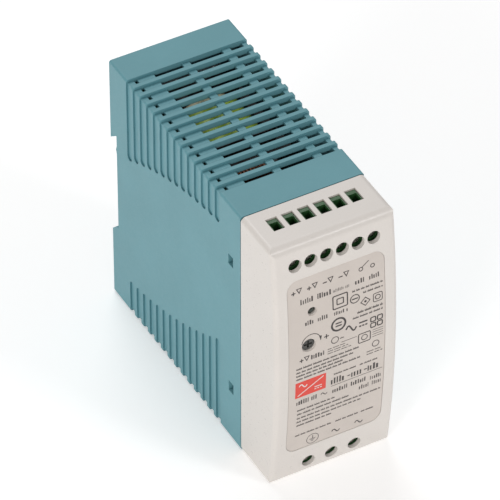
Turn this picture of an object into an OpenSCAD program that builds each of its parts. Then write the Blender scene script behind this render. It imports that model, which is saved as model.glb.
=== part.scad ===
// Power supply for a 35 mm top-hat rail. +Z is up, the front cover faces -Y and the rail seat faces +Y.
// The origin is at the bottom centre of the outer box. All sizes are in millimetres.

/* [Outer size] */
// Width from side to side
body_w = 40; // [38:1:60]
// Height from base to top
body_h = 90; // [88:1:120]
// Depth from the crown of the front face to the back of the rail lugs
body_d = 100; // [98:1:130]

/* [Shells] */
// Wall of the rear housing
wall = 1.8; // [1.2:0.1:2.4]
// Wall of the front cover
cover_wall = 1.4; // [1.2:0.1:2]
// Depth of the front cover, from its crown to the seam
cover_d = 20.7; // [19:0.1:25]
// Radius of the bowed front face
bow_r = 310; // [250:10:600]
// Radius along the cover's long edges
cover_edge_r = 1.6; // [0.5:0.1:2.5]
// Radius where the front face meets the top and base
cover_brow_r = 3; // [1:0.1:4]
// Radius along the housing's long edges
housing_edge_r = 0.8; // [0.3:0.1:1.5]
// Gap between pieces that only stand beside each other
clearance = 0.2; // [0.1:0.05:0.4]

/* [Vents] */
// Number of cross grooves in the top, and as many in the base
vent_count = 14; // [6:1:18]
// Distance from one groove to the next
vent_pitch = 4.125; // [3.6:0.025:5]
// Width of a groove
vent_groove = 2.8; // [1.4:0.1:3.4]
// Depth of a groove in the top and base
vent_depth = 1; // [0.5:0.1:1.4]
// Depth of a groove in the sides
side_groove_depth = 0.5; // [0.3:0.1:1]
// Distance from the back of the housing to the first groove
vent_start = 10.5; // [9:0.5:16]
// Radius of the arc on which the upper side grooves end
upper_arc_r = 155; // [120:5:250]
// Radius of the arc on which the lower side grooves end
lower_arc_r = 150; // [120:5:250]

/* [Rail seat] */
// Height of the rail that fits, edge to edge
rail_h = 35; // [35:1:35]
// Thickness of the rail's flange
rail_t = 1; // [1:0.1:1.5]
// Distance from the back of the lugs to the face that rests on the rail
seat_depth = 3.7; // [3:0.1:5]
// Height of the rail's lower edge above the base
rail_low_z = 28; // [26:0.5:34]
// Travel of the latch
latch_travel = 4; // [3:0.5:5]
// Width of the latch
latch_w = 16; // [12:1:20]

/* [Terminals] */
// Pitch of the output clamps
out_pitch = 5.08; // [5:0.01:5.1]
// Pitch of the input clamps
in_pitch = 7.62; // [7.5:0.01:8]
// Distance from the top of the cover to the output screws' axis
out_screw_drop = 7; // [7:0.1:8]
// Height of the input screws' axis above the base
in_screw_z = 5.2; // [5.2:0.1:7]
// Diameter of the screwdriver holes in the front face
screw_hole_d = 4.2; // [4:0.1:4.4]
// Opening for one output wire, across
out_entry_w = 3.6; // [3:0.1:3.8]
// Opening for one input wire, across
in_entry_w = 5.2; // [4:0.1:5.6]
// Opening for a wire, front to back
entry_d = 5.4; // [4.6:0.1:5.4]
// Outer diameter of a clamp screw's thread
thread_d = 2.5; // [2:0.1:2.6]
// Diameter of a clamp screw's head
head_d = 3.8; // [3.4:0.1:3.9]
// Travel of a clamp's cage
cage_travel = 3; // [2.5:0.1:3]

/* [Front face] */
// Width of the label
label_w = 31.6; // [26:0.1:33]
// Height of the label
label_h = 66; // [50:0.5:68]
// Height of the label's lower edge above the base
label_z = 12; // [11:0.5:16]
// Corner radius of the label
label_r = 3.5; // [1:0.5:6]
// Place of the lamp, across
lamp_x = -7.9; // [-10:0.1:-4]
// Height of the lamp
lamp_z = 65.2; // [60:0.1:68]
// Diameter of the lamp's hole
lamp_hole_d = 2.6; // [2:0.1:3]
// Place of the trimmer, across
trim_x = -9.2; // [-10:0.1:-4]
// Height of the trimmer
trim_z = 53.2; // [48:0.1:56]
// Diameter of the trimmer's hole
trim_hole_d = 4.2; // [3.6:0.1:5]

/* [Electronics] */
// Thickness of the circuit boards
board_t = 1.6; // [1:0.2:2]
// Diameter of the mains capacitor
bulk_d = 18; // [16:1:22]
// Length of the mains capacitor
bulk_len = 30; // [25:1:30]
// Width of the transformer's winding, side to side
winding_w = 22.8; // [18:0.2:23]
// Length of the transformer's winding, front to back
winding_len = 21; // [16:0.5:22]
// Height of the transformer's winding
winding_h = 21; // [16:0.5:22]

/* [Hidden] */
$fn = 48;

// Number of clamps; each has a screw and a cage of its own
out_count = 6;
in_count = 3;

// Outer planes
half_w = body_w / 2;
front_y = -body_d / 2;
rear_y = body_d / 2;
mid_z = body_h / 2;
seam_y = front_y + cover_d;
seam_gap = 0.3;
housing_front_y = seam_y + seam_gap / 2;
cover_rear_y = seam_y - seam_gap / 2;
over = 1; // how far a cutting solid runs past the face that it opens

// Rail seat and the latch's channel
seat_y = rear_y - seat_depth;
rail_top_z = rail_low_z + rail_h;
cheek_z = rail_low_z - 0.2;
cheek_lip = rail_t + 0.2;
hook_z = rail_top_z + 0.8;
hook_lip_z = rail_top_z - 2;
crush_rib_h = 0.5;
channel_y = rear_y - 5.6;
low_inner_y = channel_y - wall;
seat_inner_y = seat_y - wall;
lug_inner_y = rear_y - wall;
channel_w = latch_w + 2 * clearance;
flange_side = 1.2;
flange_y0 = channel_y + 1.2;
flange_t = 1.2;
flange_top_z = rail_low_z - 4;
channel_top_z = rail_low_z + 3;
pocket_x0 = channel_w / 2 + flange_side + wall; // hollows in the foot, one on each side of the channel
pocket_x1 = half_w - wall;

// Latch
latch_y0 = channel_y + clearance;
latch_y1 = rear_y - 0.6;
latch_foot_z = 0.4;
latch_top_z = rail_low_z - 0.4;
tooth_y0 = seat_y + rail_t + clearance;
tooth_h = 2.3;
window_w = 6.4;
window_z0 = 8;
post_z0 = window_z0 + clearance;
post_z1 = post_z0 + 1.8;
window_z1 = post_z1 + 3 * latch_travel; // the spring at rest is three travels long
screwdriver_slot = [[-2.5, 2.4], [2.5, 5]]; // across and up, in the latch's foot
spring_wire = 0.5;
spring_d = 3.8;
spring_turns = 6;
spring_y = (latch_y0 + latch_y1) / 2;
spring_z0 = post_z1 + 0.05;
spring_z1 = window_z1 - 0.05;

// Bow of the front face
bow_y = front_y + bow_r;
inner_bow_r = bow_r - cover_wall;

// How far the bowed face has fallen back at a distance h above or below its crown
function bow_fall(h) = bow_r - sqrt(pow(bow_r, 2) - pow(h, 2));

label_recess = 0.35;
label_t = 0.25;
label_gap = 0.1;

// Snap hooks of the cover, two on each side
hook_w = 3.4;
hook_window_w = 3.8;
hook_window_d = 2.8;
hook_window_y = seam_y + 4.45;
hook_zs = [20.1, body_h - 20.6];
hook_end_y = hook_window_y + hook_window_d;
hook_drop = 1.2; // from the housing's outer face down to a hook's crest
lip_t = 0.9;
lip_len = 2.3;
lip_gap = 0.15;
lip_in = wall + lip_gap + lip_t; // from an outer face to the inside of the lip

// Clamps: the distances run back from the front of the terminal housings
block_y0 = front_y + bow_fall(mid_z - cover_wall) + cover_wall + clearance;
block_y1 = block_y0 + 12.8;
block_h = 12;
head_y = block_y0 + 0.1;
head_t = 1;
web_y = head_y + head_t + 0.05;
web_t = 0.45;
cage_wall = 0.6;
cage_plate = 1.1;
cage_h = 4.6;
cage_front_y = web_y + web_t + 0.2 + cage_travel;
bar_y = cage_front_y + cage_plate + 0.3;
bar_t = 0.8;
bar_w = 2.4;
wire_gap = 3.3;
jaw_y = bar_y + bar_t + wire_gap;
jaw_t = 1;
pin_w = 1;
entry_y = block_y0 + 9.2;
collar_drop = 0.5; // from the cover's outer face down to a collar's rim
collar_wall = 0.3;
out_cage_w = 4.1;
in_cage_w = 5.2;
out_screw_z = body_h - out_screw_drop;
out_block_z = [body_h - cover_wall - 0.1 - block_h, body_h - cover_wall - 0.1];
in_block_z = [cover_wall + 0.1, cover_wall + 0.1 + block_h];
bar_len = 9;

// Boards
board_gap = 0.35; // round the edges of the boards
board_x = -half_w + wall + 1.2;
part_x = board_x + board_t + 0.1; // where the parts on the main board start
main_board_y = [seam_y + 2.8, low_inner_y - 0.8];
main_board_z = [lip_in + board_gap, body_h - lip_in - board_gap];
terminal_board_y = block_y1 + 0.1;
terminal_board_x = half_w - lip_in - board_gap;
indicator_board_y = front_y + 8.4;
guide_t = 1;
guide_y = [main_board_y[0] + 11.5, main_board_y[1] - 1.8];
guide_reach = 2; // how far the board's edge stands behind a guide

// Transformer: the winding's axis runs front to back
winding_x = part_x + 3.5;
winding_y = 7;
winding_z = body_h - 26.5;
core_leg = 3;
core_yoke = 4.5;
core_h = 11;
centre_leg = 9;
bobbin_flange = 1;
tube_wall = 1;
core_z = winding_z + (winding_h - core_h) / 2;
core_mid_x = winding_x + winding_w / 2;
core_y0 = winding_y - bobbin_flange - core_yoke - 0.1;
core_y1 = winding_y + winding_len + bobbin_flange + core_yoke + 0.1;

// Points on an arc from angle a0 to angle a1
function arc(x, y, r, a0, a1, n = 8) =
    [for (i = [0:n]) let (a = a0 + (a1 - a0) * i / n) [x + r * cos(a), y + r * sin(a)]];

// Outline of a rectangle with round corners
function round_rect(x0, y0, x1, y1, r, n = 6) = concat(
    arc(x1 - r, y1 - r, r, 0, 90, n),
    arc(x0 + r, y1 - r, r, 90, 180, n),
    arc(x0 + r, y0 + r, r, 180, 270, n),
    arc(x1 - r, y0 + r, r, 270, 360, n));

// A box given by its lowest and highest corners
module box(a, b) {
    translate(a) cube(b - a);
}

// An outline in Y and Z, extruded across
module prism_x(points, x0, x1) {
    translate([x0, 0, 0]) rotate([90, 0, 90]) linear_extrude(x1 - x0) polygon(points);
}

// An outline in X and Z, extruded front to back
module prism_y(points, y0, y1) {
    translate([0, y1, 0]) rotate([90, 0, 0]) linear_extrude(y1 - y0) polygon(points);
}

// A cylinder that runs back from y0 to y1
module rod_y(x, z, d, y0, y1) {
    translate([x, y0, z]) rotate([-90, 0, 0]) cylinder(d = d, h = y1 - y0);
}

// A cylinder that runs across from x0 to x1
module rod_x(y, z, d, x0, x1) {
    translate([x0, y, z]) rotate([0, 90, 0]) cylinder(d = d, h = x1 - x0);
}

// The round solid of which the bowed front face is a strip
module bow_solid(r) {
    translate([-half_w - over, bow_y, mid_z]) rotate([0, 90, 0])
        cylinder(r = r, h = body_w + 2 * over, $fn = 720);
}

// ---- Rear housing ----

housing_outline = [
    [housing_front_y, 0], [rear_y, 0],
    [rear_y, cheek_z - (rear_y - seat_y - cheek_lip)], [seat_y + cheek_lip, cheek_z], [seat_y, cheek_z],
    [seat_y, rail_top_z - 6], [seat_y + crush_rib_h, rail_top_z - 4.5], [seat_y, rail_top_z - 3],
    [seat_y, hook_z], [seat_y + 0.2, hook_z], [rear_y, hook_lip_z],
    [rear_y, body_h], [housing_front_y, body_h]];

housing_cavity = [
    [housing_front_y - over, wall], [low_inner_y, wall], [low_inner_y, channel_top_z + wall],
    [seat_inner_y, channel_top_z + wall + 1], [seat_inner_y, hook_z + wall],
    [lug_inner_y, hook_z + wall + 1], [lug_inner_y, body_h - wall], [housing_front_y - over, body_h - wall]];

// Across each groove: a small hole, two long ones and one by the far side
vent_bar_x = -0.45;
vent_bar_w = 2.4;
vent_spans = [
    [-half_w + 2.5, -half_w + 3.6], [-half_w + 8.95, vent_bar_x - vent_bar_w / 2],
    [vent_bar_x + vent_bar_w / 2, half_w - 8.5], [half_w - 5.95, half_w - wall - 0.1]];

function groove_y(i) = rear_y - vent_start - vent_groove - i * vent_pitch;

// Where the side grooves end: on an arc that sinks towards the back, and one that rises towards the front
upper_arc_y = -38;
upper_arc_drop = 10.3;
lower_arc_y = 62;
lower_arc_rise = 10.4;
function upper_end(y) =
    body_h - upper_arc_drop - upper_arc_r + sqrt(pow(upper_arc_r, 2) - pow(y - upper_arc_y, 2));
function lower_end(y) =
    lower_arc_rise + lower_arc_r - sqrt(pow(lower_arc_r, 2) - pow(y - lower_arc_y, 2));

// One groove with its holes, cut through a wall whose outer face is at z.
// up is 1 for the top and -1 for the base
module vent_row(y, z, up) {
    inner = z - up * (wall + over);
    outer = z + up * over;
    floor_z = z - up * vent_depth;
    box([-half_w - over, y, min(floor_z, outer)],
        [half_w + over, y + vent_groove, max(floor_z, outer)]);
    for (s = vent_spans)
        box([s[0], y, min(inner, outer)], [s[1], y + vent_groove, max(inner, outer)]);
}

// The groove's run down, or up, each side, with a round end
module side_groove(y, z_end, z_open) {
    r = vent_groove / 2;
    up = sign(z_open - z_end);
    outline = concat([[y + vent_groove, z_open], [y, z_open]],
        arc(y + r, z_end + up * r, r, 180, 180 + up * 180, 8));
    for (side = [-1, 1])
        prism_x(outline, side * half_w - side_groove_depth, side * half_w + side_groove_depth);
}

module latch_channel() {
    box([-channel_w / 2, channel_y, -over], [channel_w / 2, rear_y + over, channel_top_z]);
    box([-channel_w / 2 - flange_side, flange_y0 - clearance, -over],
        [channel_w / 2 + flange_side, flange_y0 + flange_t + clearance, flange_top_z + over]);
}

module board_guides() {
    for (z = [wall, body_h - wall - guide_reach])
        box([part_x, guide_y[0], z - 0.1], [part_x + guide_t, guide_y[1], z + guide_reach + 0.1]);
}

module rear_housing() {
    color([0.30, 0.52, 0.56]) {
        difference() {
            intersection() {
                prism_x(housing_outline, -half_w, half_w);
                prism_y(round_rect(-half_w, 0, half_w, body_h, housing_edge_r), housing_front_y, rear_y);
            }
            prism_x(housing_cavity, -half_w + wall, half_w - wall);
            for (side = [-1, 1])
                translate([side * (pocket_x0 + pocket_x1) / 2, 0, 0])
                    box([-(pocket_x1 - pocket_x0) / 2, low_inner_y - over, wall],
                        [(pocket_x1 - pocket_x0) / 2, lug_inner_y, cheek_z - 6]);
            for (i = [0:vent_count - 1]) {
                vent_row(groove_y(i), body_h, 1);
                vent_row(groove_y(i), 0, -1);
                side_groove(groove_y(i), upper_end(groove_y(i)), body_h + over);
                side_groove(groove_y(i), lower_end(groove_y(i)), -over);
            }
            latch_channel();
            for (z = hook_zs)
                box([-half_w - over, hook_window_y, z - hook_window_w / 2],
                    [half_w + over, hook_end_y, z + hook_window_w / 2]);
        }
        box([-window_w / 2 + 0.3, channel_y - 0.1, post_z0], [window_w / 2 - 0.3, latch_y1 - 0.4, post_z1]);
        board_guides();
    }
}

// ---- Rail latch and its spring ----

latch_outline = [
    [latch_y0, latch_foot_z], [latch_y1, latch_foot_z], [latch_y1, latch_top_z + tooth_h - 1.2],
    [latch_y1 - 1, latch_top_z + tooth_h], [tooth_y0, latch_top_z + tooth_h],
    [tooth_y0, latch_top_z], [latch_y0, latch_top_z]];

module rail_latch() {
    color([0.22, 0.40, 0.44]) difference() {
        union() {
            prism_x(latch_outline, -latch_w / 2, latch_w / 2);
            box([-latch_w / 2 - flange_side, flange_y0, 3],
                [latch_w / 2 + flange_side, flange_y0 + flange_t, flange_top_z - clearance]);
        }
        box([-window_w / 2, latch_y0 - over, window_z0], [window_w / 2, latch_y1 + over, window_z1]);
        box([screwdriver_slot[0][0], latch_y0 - over, screwdriver_slot[0][1]],
            [screwdriver_slot[1][0], latch_y1 + over, screwdriver_slot[1][1]]);
    }
}

spring_sides = 8;
spring_steps = 14;
spring_rings = spring_turns * spring_steps;
function spring_point(i) = let (a = 360 * i / spring_steps) [
    (spring_d - spring_wire) / 2 * cos(a), spring_y + (spring_d - spring_wire) / 2 * sin(a),
    spring_z0 + spring_wire / 2 + (spring_z1 - spring_z0 - spring_wire) * i / spring_rings];
function spring_ring(i) = let (a = 360 * i / spring_steps, p = spring_point(i))
    [for (k = [0:spring_sides - 1]) let (b = 360 * k / spring_sides)
        [p[0] + spring_wire / 2 * cos(b) * cos(a), p[1] + spring_wire / 2 * cos(b) * sin(a),
         p[2] + spring_wire / 2 * sin(b)]];

module latch_spring() {
    points = [for (i = [0:spring_rings]) each spring_ring(i)];
    faces = concat(
        [[for (k = [0:spring_sides - 1]) k]],
        [for (i = [0:spring_rings - 1], k = [0:spring_sides - 1])
            let (m = (k + 1) % spring_sides, a = i * spring_sides, b = a + spring_sides)
            [a + k, b + k, b + m, a + m]],
        [[for (k = [spring_sides - 1:-1:0]) spring_rings * spring_sides + k]]);
    color("silver") polyhedron(points, faces, convexity = 10);
}

// ---- Front cover and label ----

brow_z = body_h / 2 - cover_brow_r;
brow_y = bow_y - sqrt(pow(bow_r - cover_brow_r, 2) - pow(brow_z, 2));
brow_angle = atan2(brow_z, brow_y - bow_y);

// The side outline, whose straight front stays outside the bow
cover_outline = concat(
    [[cover_rear_y, 0]],
    arc(brow_y, mid_z - brow_z, cover_brow_r, 270, 360 - brow_angle, 10),
    [[bow_y - bow_r / cos(180 - brow_angle), mid_z]],
    arc(brow_y, mid_z + brow_z, cover_brow_r, brow_angle, 90, 10),
    [[cover_rear_y, body_h]]);

// A ring about the bow's axis with round outer edges, which gives the front its rounded sides
module bowed_block() {
    depth = cover_d + 12;
    outline = concat(
        [[bow_r - depth, -half_w], [bow_r - cover_edge_r, -half_w]],
        arc(bow_r - cover_edge_r, -half_w + cover_edge_r, cover_edge_r, -80, 0, 6),
        arc(bow_r - cover_edge_r, half_w - cover_edge_r, cover_edge_r, 0, 80, 6),
        [[bow_r - cover_edge_r, half_w], [bow_r - depth, half_w]]);
    sweep = 2 * asin(body_h / 2 / (bow_r - depth)) + 2;
    translate([0, bow_y, mid_z]) rotate([0, 90, 0]) rotate([0, 0, -90 - sweep / 2])
        rotate_extrude(angle = sweep, $fn = 720) polygon(outline);
}

module label_outline(grow, y0, y1) {
    prism_y(round_rect(-label_w / 2 - grow, label_z - grow, label_w / 2 + grow, label_z + label_h + grow,
        label_r + grow), y0, y1);
}

module snap_hook(side, z) {
    x0 = half_w - wall - lip_gap;
    outline = [
        [side * (x0 - lip_t), terminal_board_y], [side * x0, terminal_board_y],
        [side * x0, hook_window_y + clearance], [side * (half_w - hook_drop), hook_window_y + clearance],
        [side * (half_w - hook_drop), hook_window_y + clearance + 0.5], [side * x0, hook_end_y - 0.1],
        [side * (x0 - lip_t), hook_end_y - 0.1]];
    translate([0, 0, z - hook_w / 2]) linear_extrude(hook_w) polygon(outline);
}

// The frame that reaches back into the housing; its root fills the gap to the cover's wall
module cover_lip() {
    out = wall + lip_gap;
    root = cover_wall / 2;
    difference() {
        union() {
            box([-half_w + out, terminal_board_y, out], [half_w - out, seam_y + lip_len, body_h - out]);
            box([-half_w + root, terminal_board_y, root], [half_w - root, cover_rear_y, body_h - root]);
        }
        box([-half_w + lip_in, terminal_board_y - over, lip_in],
            [half_w - lip_in, seam_y + lip_len + over, body_h - lip_in]);
    }
}

module front_cover() {
    color([0.90, 0.88, 0.86]) difference() {
        union() {
            difference() {
                intersection() {
                    prism_x(cover_outline, -half_w, half_w);
                    prism_y(round_rect(-half_w, 0, half_w, body_h, cover_edge_r),
                        front_y - over, cover_rear_y);
                    bowed_block();
                }
                intersection() {
                    box([-half_w + cover_wall, front_y, cover_wall],
                        [half_w - cover_wall, cover_rear_y + over, body_h - cover_wall]);
                    bow_solid(inner_bow_r);
                }
            }
            cover_lip();
            for (side = [-1, 1], z = hook_zs)
                snap_hook(side, z);
        }
        for (i = [0:out_count - 1]) {
            x = (i - (out_count - 1) / 2) * out_pitch;
            box([x - out_entry_w / 2, entry_y - entry_d / 2, body_h - cover_wall - over],
                [x + out_entry_w / 2, entry_y + entry_d / 2, body_h + over]);
            rod_y(x, out_screw_z, screw_hole_d, front_y - over, block_y0 - 0.05);
        }
        for (i = [0:in_count - 1]) {
            x = (i - (in_count - 1) / 2) * in_pitch;
            box([x - in_entry_w / 2, entry_y - entry_d / 2, -over],
                [x + in_entry_w / 2, entry_y + entry_d / 2, cover_wall + over]);
            rod_y(x, in_screw_z, screw_hole_d, front_y - over, block_y0 - 0.05);
        }
        rod_y(lamp_x, lamp_z, lamp_hole_d, front_y - over, front_y + 6);
        rod_y(trim_x, trim_z, trim_hole_d, front_y - over, front_y + 6);
        difference() {
            label_outline(0, front_y - over, front_y + 6);
            bow_solid(bow_r - label_recess);
        }
    }
}

module front_label() {
    color([0.80, 0.77, 0.74]) difference() {
        intersection() {
            label_outline(-label_gap, front_y - over, front_y + 6);
            difference() {
                bow_solid(bow_r - label_recess + label_t);
                bow_solid(bow_r - label_recess);
            }
        }
        rod_y(lamp_x, lamp_z, lamp_hole_d + 0.4, front_y - over, front_y + 6);
        rod_y(trim_x, trim_z, trim_hole_d + 0.4, front_y - over, front_y + 6);
    }
}

// ---- Clamp terminals ----
// up is 1 where the wires come in from above and -1 where they come in from below

// The fixed bar that the wire is pressed against, with its pin back to the board
module contact_bar(x, z, up, grow) {
    z_end = z + up * (cage_h / 2 + 0.3);
    z_far = z_end - up * bar_len;
    box([x - bar_w / 2 - grow, bar_y - grow, min(z_end, z_far) - grow],
        [x + bar_w / 2 + grow, bar_y + bar_t + grow, max(z_end, z_far) + grow]);
    box([x - pin_w / 2 - grow, bar_y + bar_t / 2, min(z_far, z_far + up * pin_w) - grow],
        [x + pin_w / 2 + grow, terminal_board_y + board_t + 1 + grow, max(z_far, z_far + up * pin_w) + grow]);
}

module contacts(count, pitch, z, up, grow) {
    for (i = [0:count - 1])
        contact_bar((i - (count - 1) / 2) * pitch, z, up, grow);
}

// A collar stands in each wire entry of the cover, just below its outer face
module terminal_housing(count, pitch, z, up, span_z, cage_w, entry_w) {
    z_base = up > 0 ? span_z[1] : span_z[0];
    z_rim = up > 0 ? body_h - collar_drop : collar_drop;
    half_d = entry_d / 2 - clearance;
    half_row = count * pitch / 2 + 0.2;
    color([0.20, 0.42, 0.24]) difference() {
        union() {
            box([-half_row, block_y0, span_z[0]], [half_row, block_y1, span_z[1]]);
            for (i = [0:count - 1]) {
                x = (i - (count - 1) / 2) * pitch;
                half_e = entry_w / 2 - clearance;
                box([x - half_e, entry_y - half_d, min(z_base - up * over, z_rim)],
                    [x + half_e, entry_y + half_d, max(z_base - up * over, z_rim)]);
            }
        }
        for (i = [0:count - 1]) {
            x = (i - (count - 1) / 2) * pitch;
            side = cage_w / 2 + 0.15;
            wire_side = cage_w / 2 - cage_wall;
            z_in = z - up * (cage_h / 2 + 2);
            rod_y(x, z, head_d + 0.3, block_y0 - over, web_y);
            rod_y(x, z, thread_d + 0.3, web_y - over, bar_y);
            box([x - side, web_y + web_t, z - cage_h / 2 - 0.15],
                [x + side, jaw_y + jaw_t + 0.15, z + cage_h / 2 + 0.15]);
            box([x - wire_side, bar_y + bar_t, min(z_in, z_base)], [x + wire_side, jaw_y, max(z_in, z_base)]);
            mouth = entry_w / 2 - clearance - collar_wall;
            z_far = z_rim + up * over;
            z_near = z_base - up;
            box([x - mouth, bar_y + bar_t, min(z_near, z_far)], [x + mouth, jaw_y, max(z_near, z_far)]);
        }
        contacts(count, pitch, z, up, 0.05);
    }
}

module clamp_screw(x, z) {
    color("silver") {
        difference() {
            rod_y(x, z, head_d, head_y, head_y + head_t);
            box([x - head_d, head_y - over, z - 0.35], [x + head_d, head_y + 0.55, z + 0.35]);
        }
        rod_y(x, z, thread_d, head_y + head_t, bar_y - 0.1);
    }
}

// The ring that the screw draws forward, shown at its open end
module clamp_cage(x, z, cage_w) {
    color([0.85, 0.84, 0.80]) difference() {
        box([x - cage_w / 2, cage_front_y, z - cage_h / 2], [x + cage_w / 2, jaw_y + jaw_t, z + cage_h / 2]);
        box([x - cage_w / 2 + cage_wall, cage_front_y + cage_plate, z - cage_h / 2 - over],
            [x + cage_w / 2 - cage_wall, jaw_y, z + cage_h / 2 + over]);
        rod_y(x, z, thread_d + 0.1, cage_front_y - over, cage_front_y + cage_plate + over);
    }
}

function out_x(i) = (i - (out_count - 1) / 2) * out_pitch;
function in_x(i) = (i - (in_count - 1) / 2) * in_pitch;

module output_terminal_housing() {
    terminal_housing(out_count, out_pitch, out_screw_z, 1, out_block_z, out_cage_w, out_entry_w);
}

module input_terminal_housing() {
    terminal_housing(in_count, in_pitch, in_screw_z, -1, in_block_z, in_cage_w, in_entry_w);
}

module output_contacts() {
    color([0.75, 0.62, 0.35]) contacts(out_count, out_pitch, out_screw_z, 1, 0);
}

module input_contacts() {
    color([0.75, 0.62, 0.35]) contacts(in_count, in_pitch, in_screw_z, -1, 0);
}

module output_screw(i) {
    clamp_screw(out_x(i), out_screw_z);
}

module output_cage(i) {
    clamp_cage(out_x(i), out_screw_z, out_cage_w);
}

module input_screw(i) {
    clamp_screw(in_x(i), in_screw_z);
}

module input_cage(i) {
    clamp_cage(in_x(i), in_screw_z, in_cage_w);
}

// ---- Boards ----

module main_board() {
    color([0.16, 0.36, 0.20]) difference() {
        box([board_x, main_board_y[0], main_board_z[0]],
            [board_x + board_t, main_board_y[1], main_board_z[1]]);
        for (z = hook_zs)
            box([board_x - over, main_board_y[0] - over, z - hook_w / 2 - 1],
                [board_x + board_t + over, hook_end_y + 1, z + hook_w / 2 + 1]);
    }
}

header_z = [34, 56];
header_x = [part_x, part_x + 2.5];
header_end_y = main_board_y[0] + 4.2;
link_pitch = 2.54;
link_count = 7; // pins between the terminal board and the main board
lamp_link_count = 4; // pins between the terminal board and the indicator board
link_x = 6;
link_w = 0.64;

// The pins that join the three boards
module link_pins(grow) {
    r = link_w / 2 + grow;
    for (i = [0:link_count - 1]) {
        z = header_z[0] + 3 + i * link_pitch;
        x = (header_x[0] + header_x[1]) / 2;
        box([x - r, terminal_board_y - 1, z - r], [x + r, terminal_board_y + board_t + 0.3, z + r]);
    }
    for (i = [0:lamp_link_count - 1]) {
        z = header_z[0] + 3 + i * link_pitch;
        box([link_x - r, indicator_board_y - 1, z - r], [link_x + r, terminal_board_y + board_t + 1, z + r]);
    }
}

module board_headers() {
    color([0.12, 0.12, 0.12]) {
        box([header_x[0], terminal_board_y + board_t + 0.1, header_z[0]],
            [header_x[1], header_end_y, header_z[1]]);
        box([link_x - 1.25, indicator_board_y + board_t + 0.1, header_z[0] + 1],
            [link_x + 1.25, terminal_board_y - 0.1, header_z[0] + 14]);
    }
    color("gold") link_pins(0);
}

module terminal_board() {
    color([0.16, 0.36, 0.20]) difference() {
        box([-terminal_board_x, terminal_board_y, main_board_z[0]],
            [terminal_board_x, terminal_board_y + board_t, main_board_z[1]]);
        contacts(out_count, out_pitch, out_screw_z, 1, 0.1);
        contacts(in_count, in_pitch, in_screw_z, -1, 0.1);
        link_pins(0.1);
    }
}

module indicator_board() {
    color([0.16, 0.36, 0.20]) difference() {
        box([-half_w + 4.5, indicator_board_y, in_block_z[1] + 2],
            [half_w - 4.5, indicator_board_y + board_t, out_block_z[0] - 2]);
        link_pins(0.1);
    }
}

// The sheet between the main board's solder joints and the housing's left wall
module insulation_sheet() {
    x = -half_w + wall + 0.4;
    color([0.92, 0.90, 0.80])
        box([x, hook_end_y + 2, main_board_z[0] + 1], [x + 0.3, main_board_y[1] - 1, main_board_z[1] - 1]);
}

// ---- Parts on the main board; each stands on part_x and reaches across ----

module transformer_core() {
    x0 = winding_x - 0.2 - core_leg;
    x1 = winding_x + winding_w + 0.2 + core_leg;
    color([0.20, 0.20, 0.21]) {
        for (y = [core_y0, core_y1 - core_yoke])
            box([x0, y, core_z], [x1, y + core_yoke, core_z + core_h]);
        for (x = [x0, x1 - core_leg])
            box([x, core_y0 + core_yoke, core_z], [x + core_leg, core_y1 - core_yoke, core_z + core_h]);
        box([core_mid_x - centre_leg / 2, core_y0 + core_yoke, core_z],
            [core_mid_x + centre_leg / 2, core_y1 - core_yoke, core_z + core_h]);
    }
}

module core_tunnel(grow, y0, y1) {
    box([core_mid_x - centre_leg / 2 - grow, y0, core_z - grow],
        [core_mid_x + centre_leg / 2 + grow, y1, core_z + core_h + grow]);
}

module transformer_bobbin() {
    y0 = winding_y - bobbin_flange;
    y1 = winding_y + winding_len + bobbin_flange;
    color([0.15, 0.14, 0.14]) difference() {
        union() {
            for (y = [y0, y1 - bobbin_flange]) {
                box([winding_x, y, winding_z],
                    [winding_x + winding_w, y + bobbin_flange, winding_z + winding_h]);
                for (z = [winding_z, core_z + core_h + 0.3])
                    box([part_x, y, z], [winding_x + 0.1, y + bobbin_flange,
                        z + (winding_h - core_h) / 2 - 0.3]);
            }
            core_tunnel(tube_wall + 0.1, y0, y1);
        }
        core_tunnel(0.1, y0 - over, y1 + over);
    }
}

module transformer_winding() {
    r = 8;
    color([0.80, 0.78, 0.25]) difference() {
        prism_y(round_rect(winding_x + 0.2, winding_z + 0.2, winding_x + winding_w - 0.2,
            winding_z + winding_h - 0.2, r), winding_y + 0.05, winding_y + winding_len - 0.05);
        core_tunnel(tube_wall + 0.15, winding_y - over, winding_y + winding_len + over);
    }
}

bulk_y = 12;
bulk_z = 44;

module bulk_capacitor() {
    color([0.13, 0.15, 0.22]) difference() {
        rod_x(bulk_y, bulk_z, bulk_d, part_x, part_x + bulk_len);
        translate([part_x + 1.8, bulk_y, bulk_z]) rotate([0, 90, 0]) rotate_extrude()
            translate([bulk_d / 2, 0]) circle(r = 0.6, $fn = 24);
    }
}

out_cap_d = 10;
out_cap_len = 20;
out_cap_y = -11;
out_cap_zs = [64.5, 53.5];

module output_capacitors() {
    color([0.10, 0.10, 0.12]) for (z = out_cap_zs)
        difference() {
            rod_x(out_cap_y, z, out_cap_d, part_x, part_x + out_cap_len);
            translate([part_x + 1.5, out_cap_y, z]) rotate([0, 90, 0]) rotate_extrude()
                translate([out_cap_d / 2, 0]) circle(r = 0.4, $fn = 24);
        }
}

choke_y = 26;
choke_z = 15;
choke_x = 1;
choke_r0 = 4.6;
choke_r1 = 9;
choke_h = 8;

module choke_ring(r0, r1, h, a0, sweep) {
    translate([choke_x, choke_y, choke_z]) rotate([90, 0, 0]) rotate([0, 0, a0])
        rotate_extrude(angle = sweep) translate([r0, -h / 2]) square([r1 - r0, h]);
}

module input_choke_core() {
    color([0.25, 0.26, 0.25]) choke_ring(choke_r0, choke_r1, choke_h, 0, 360);
}

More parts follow.
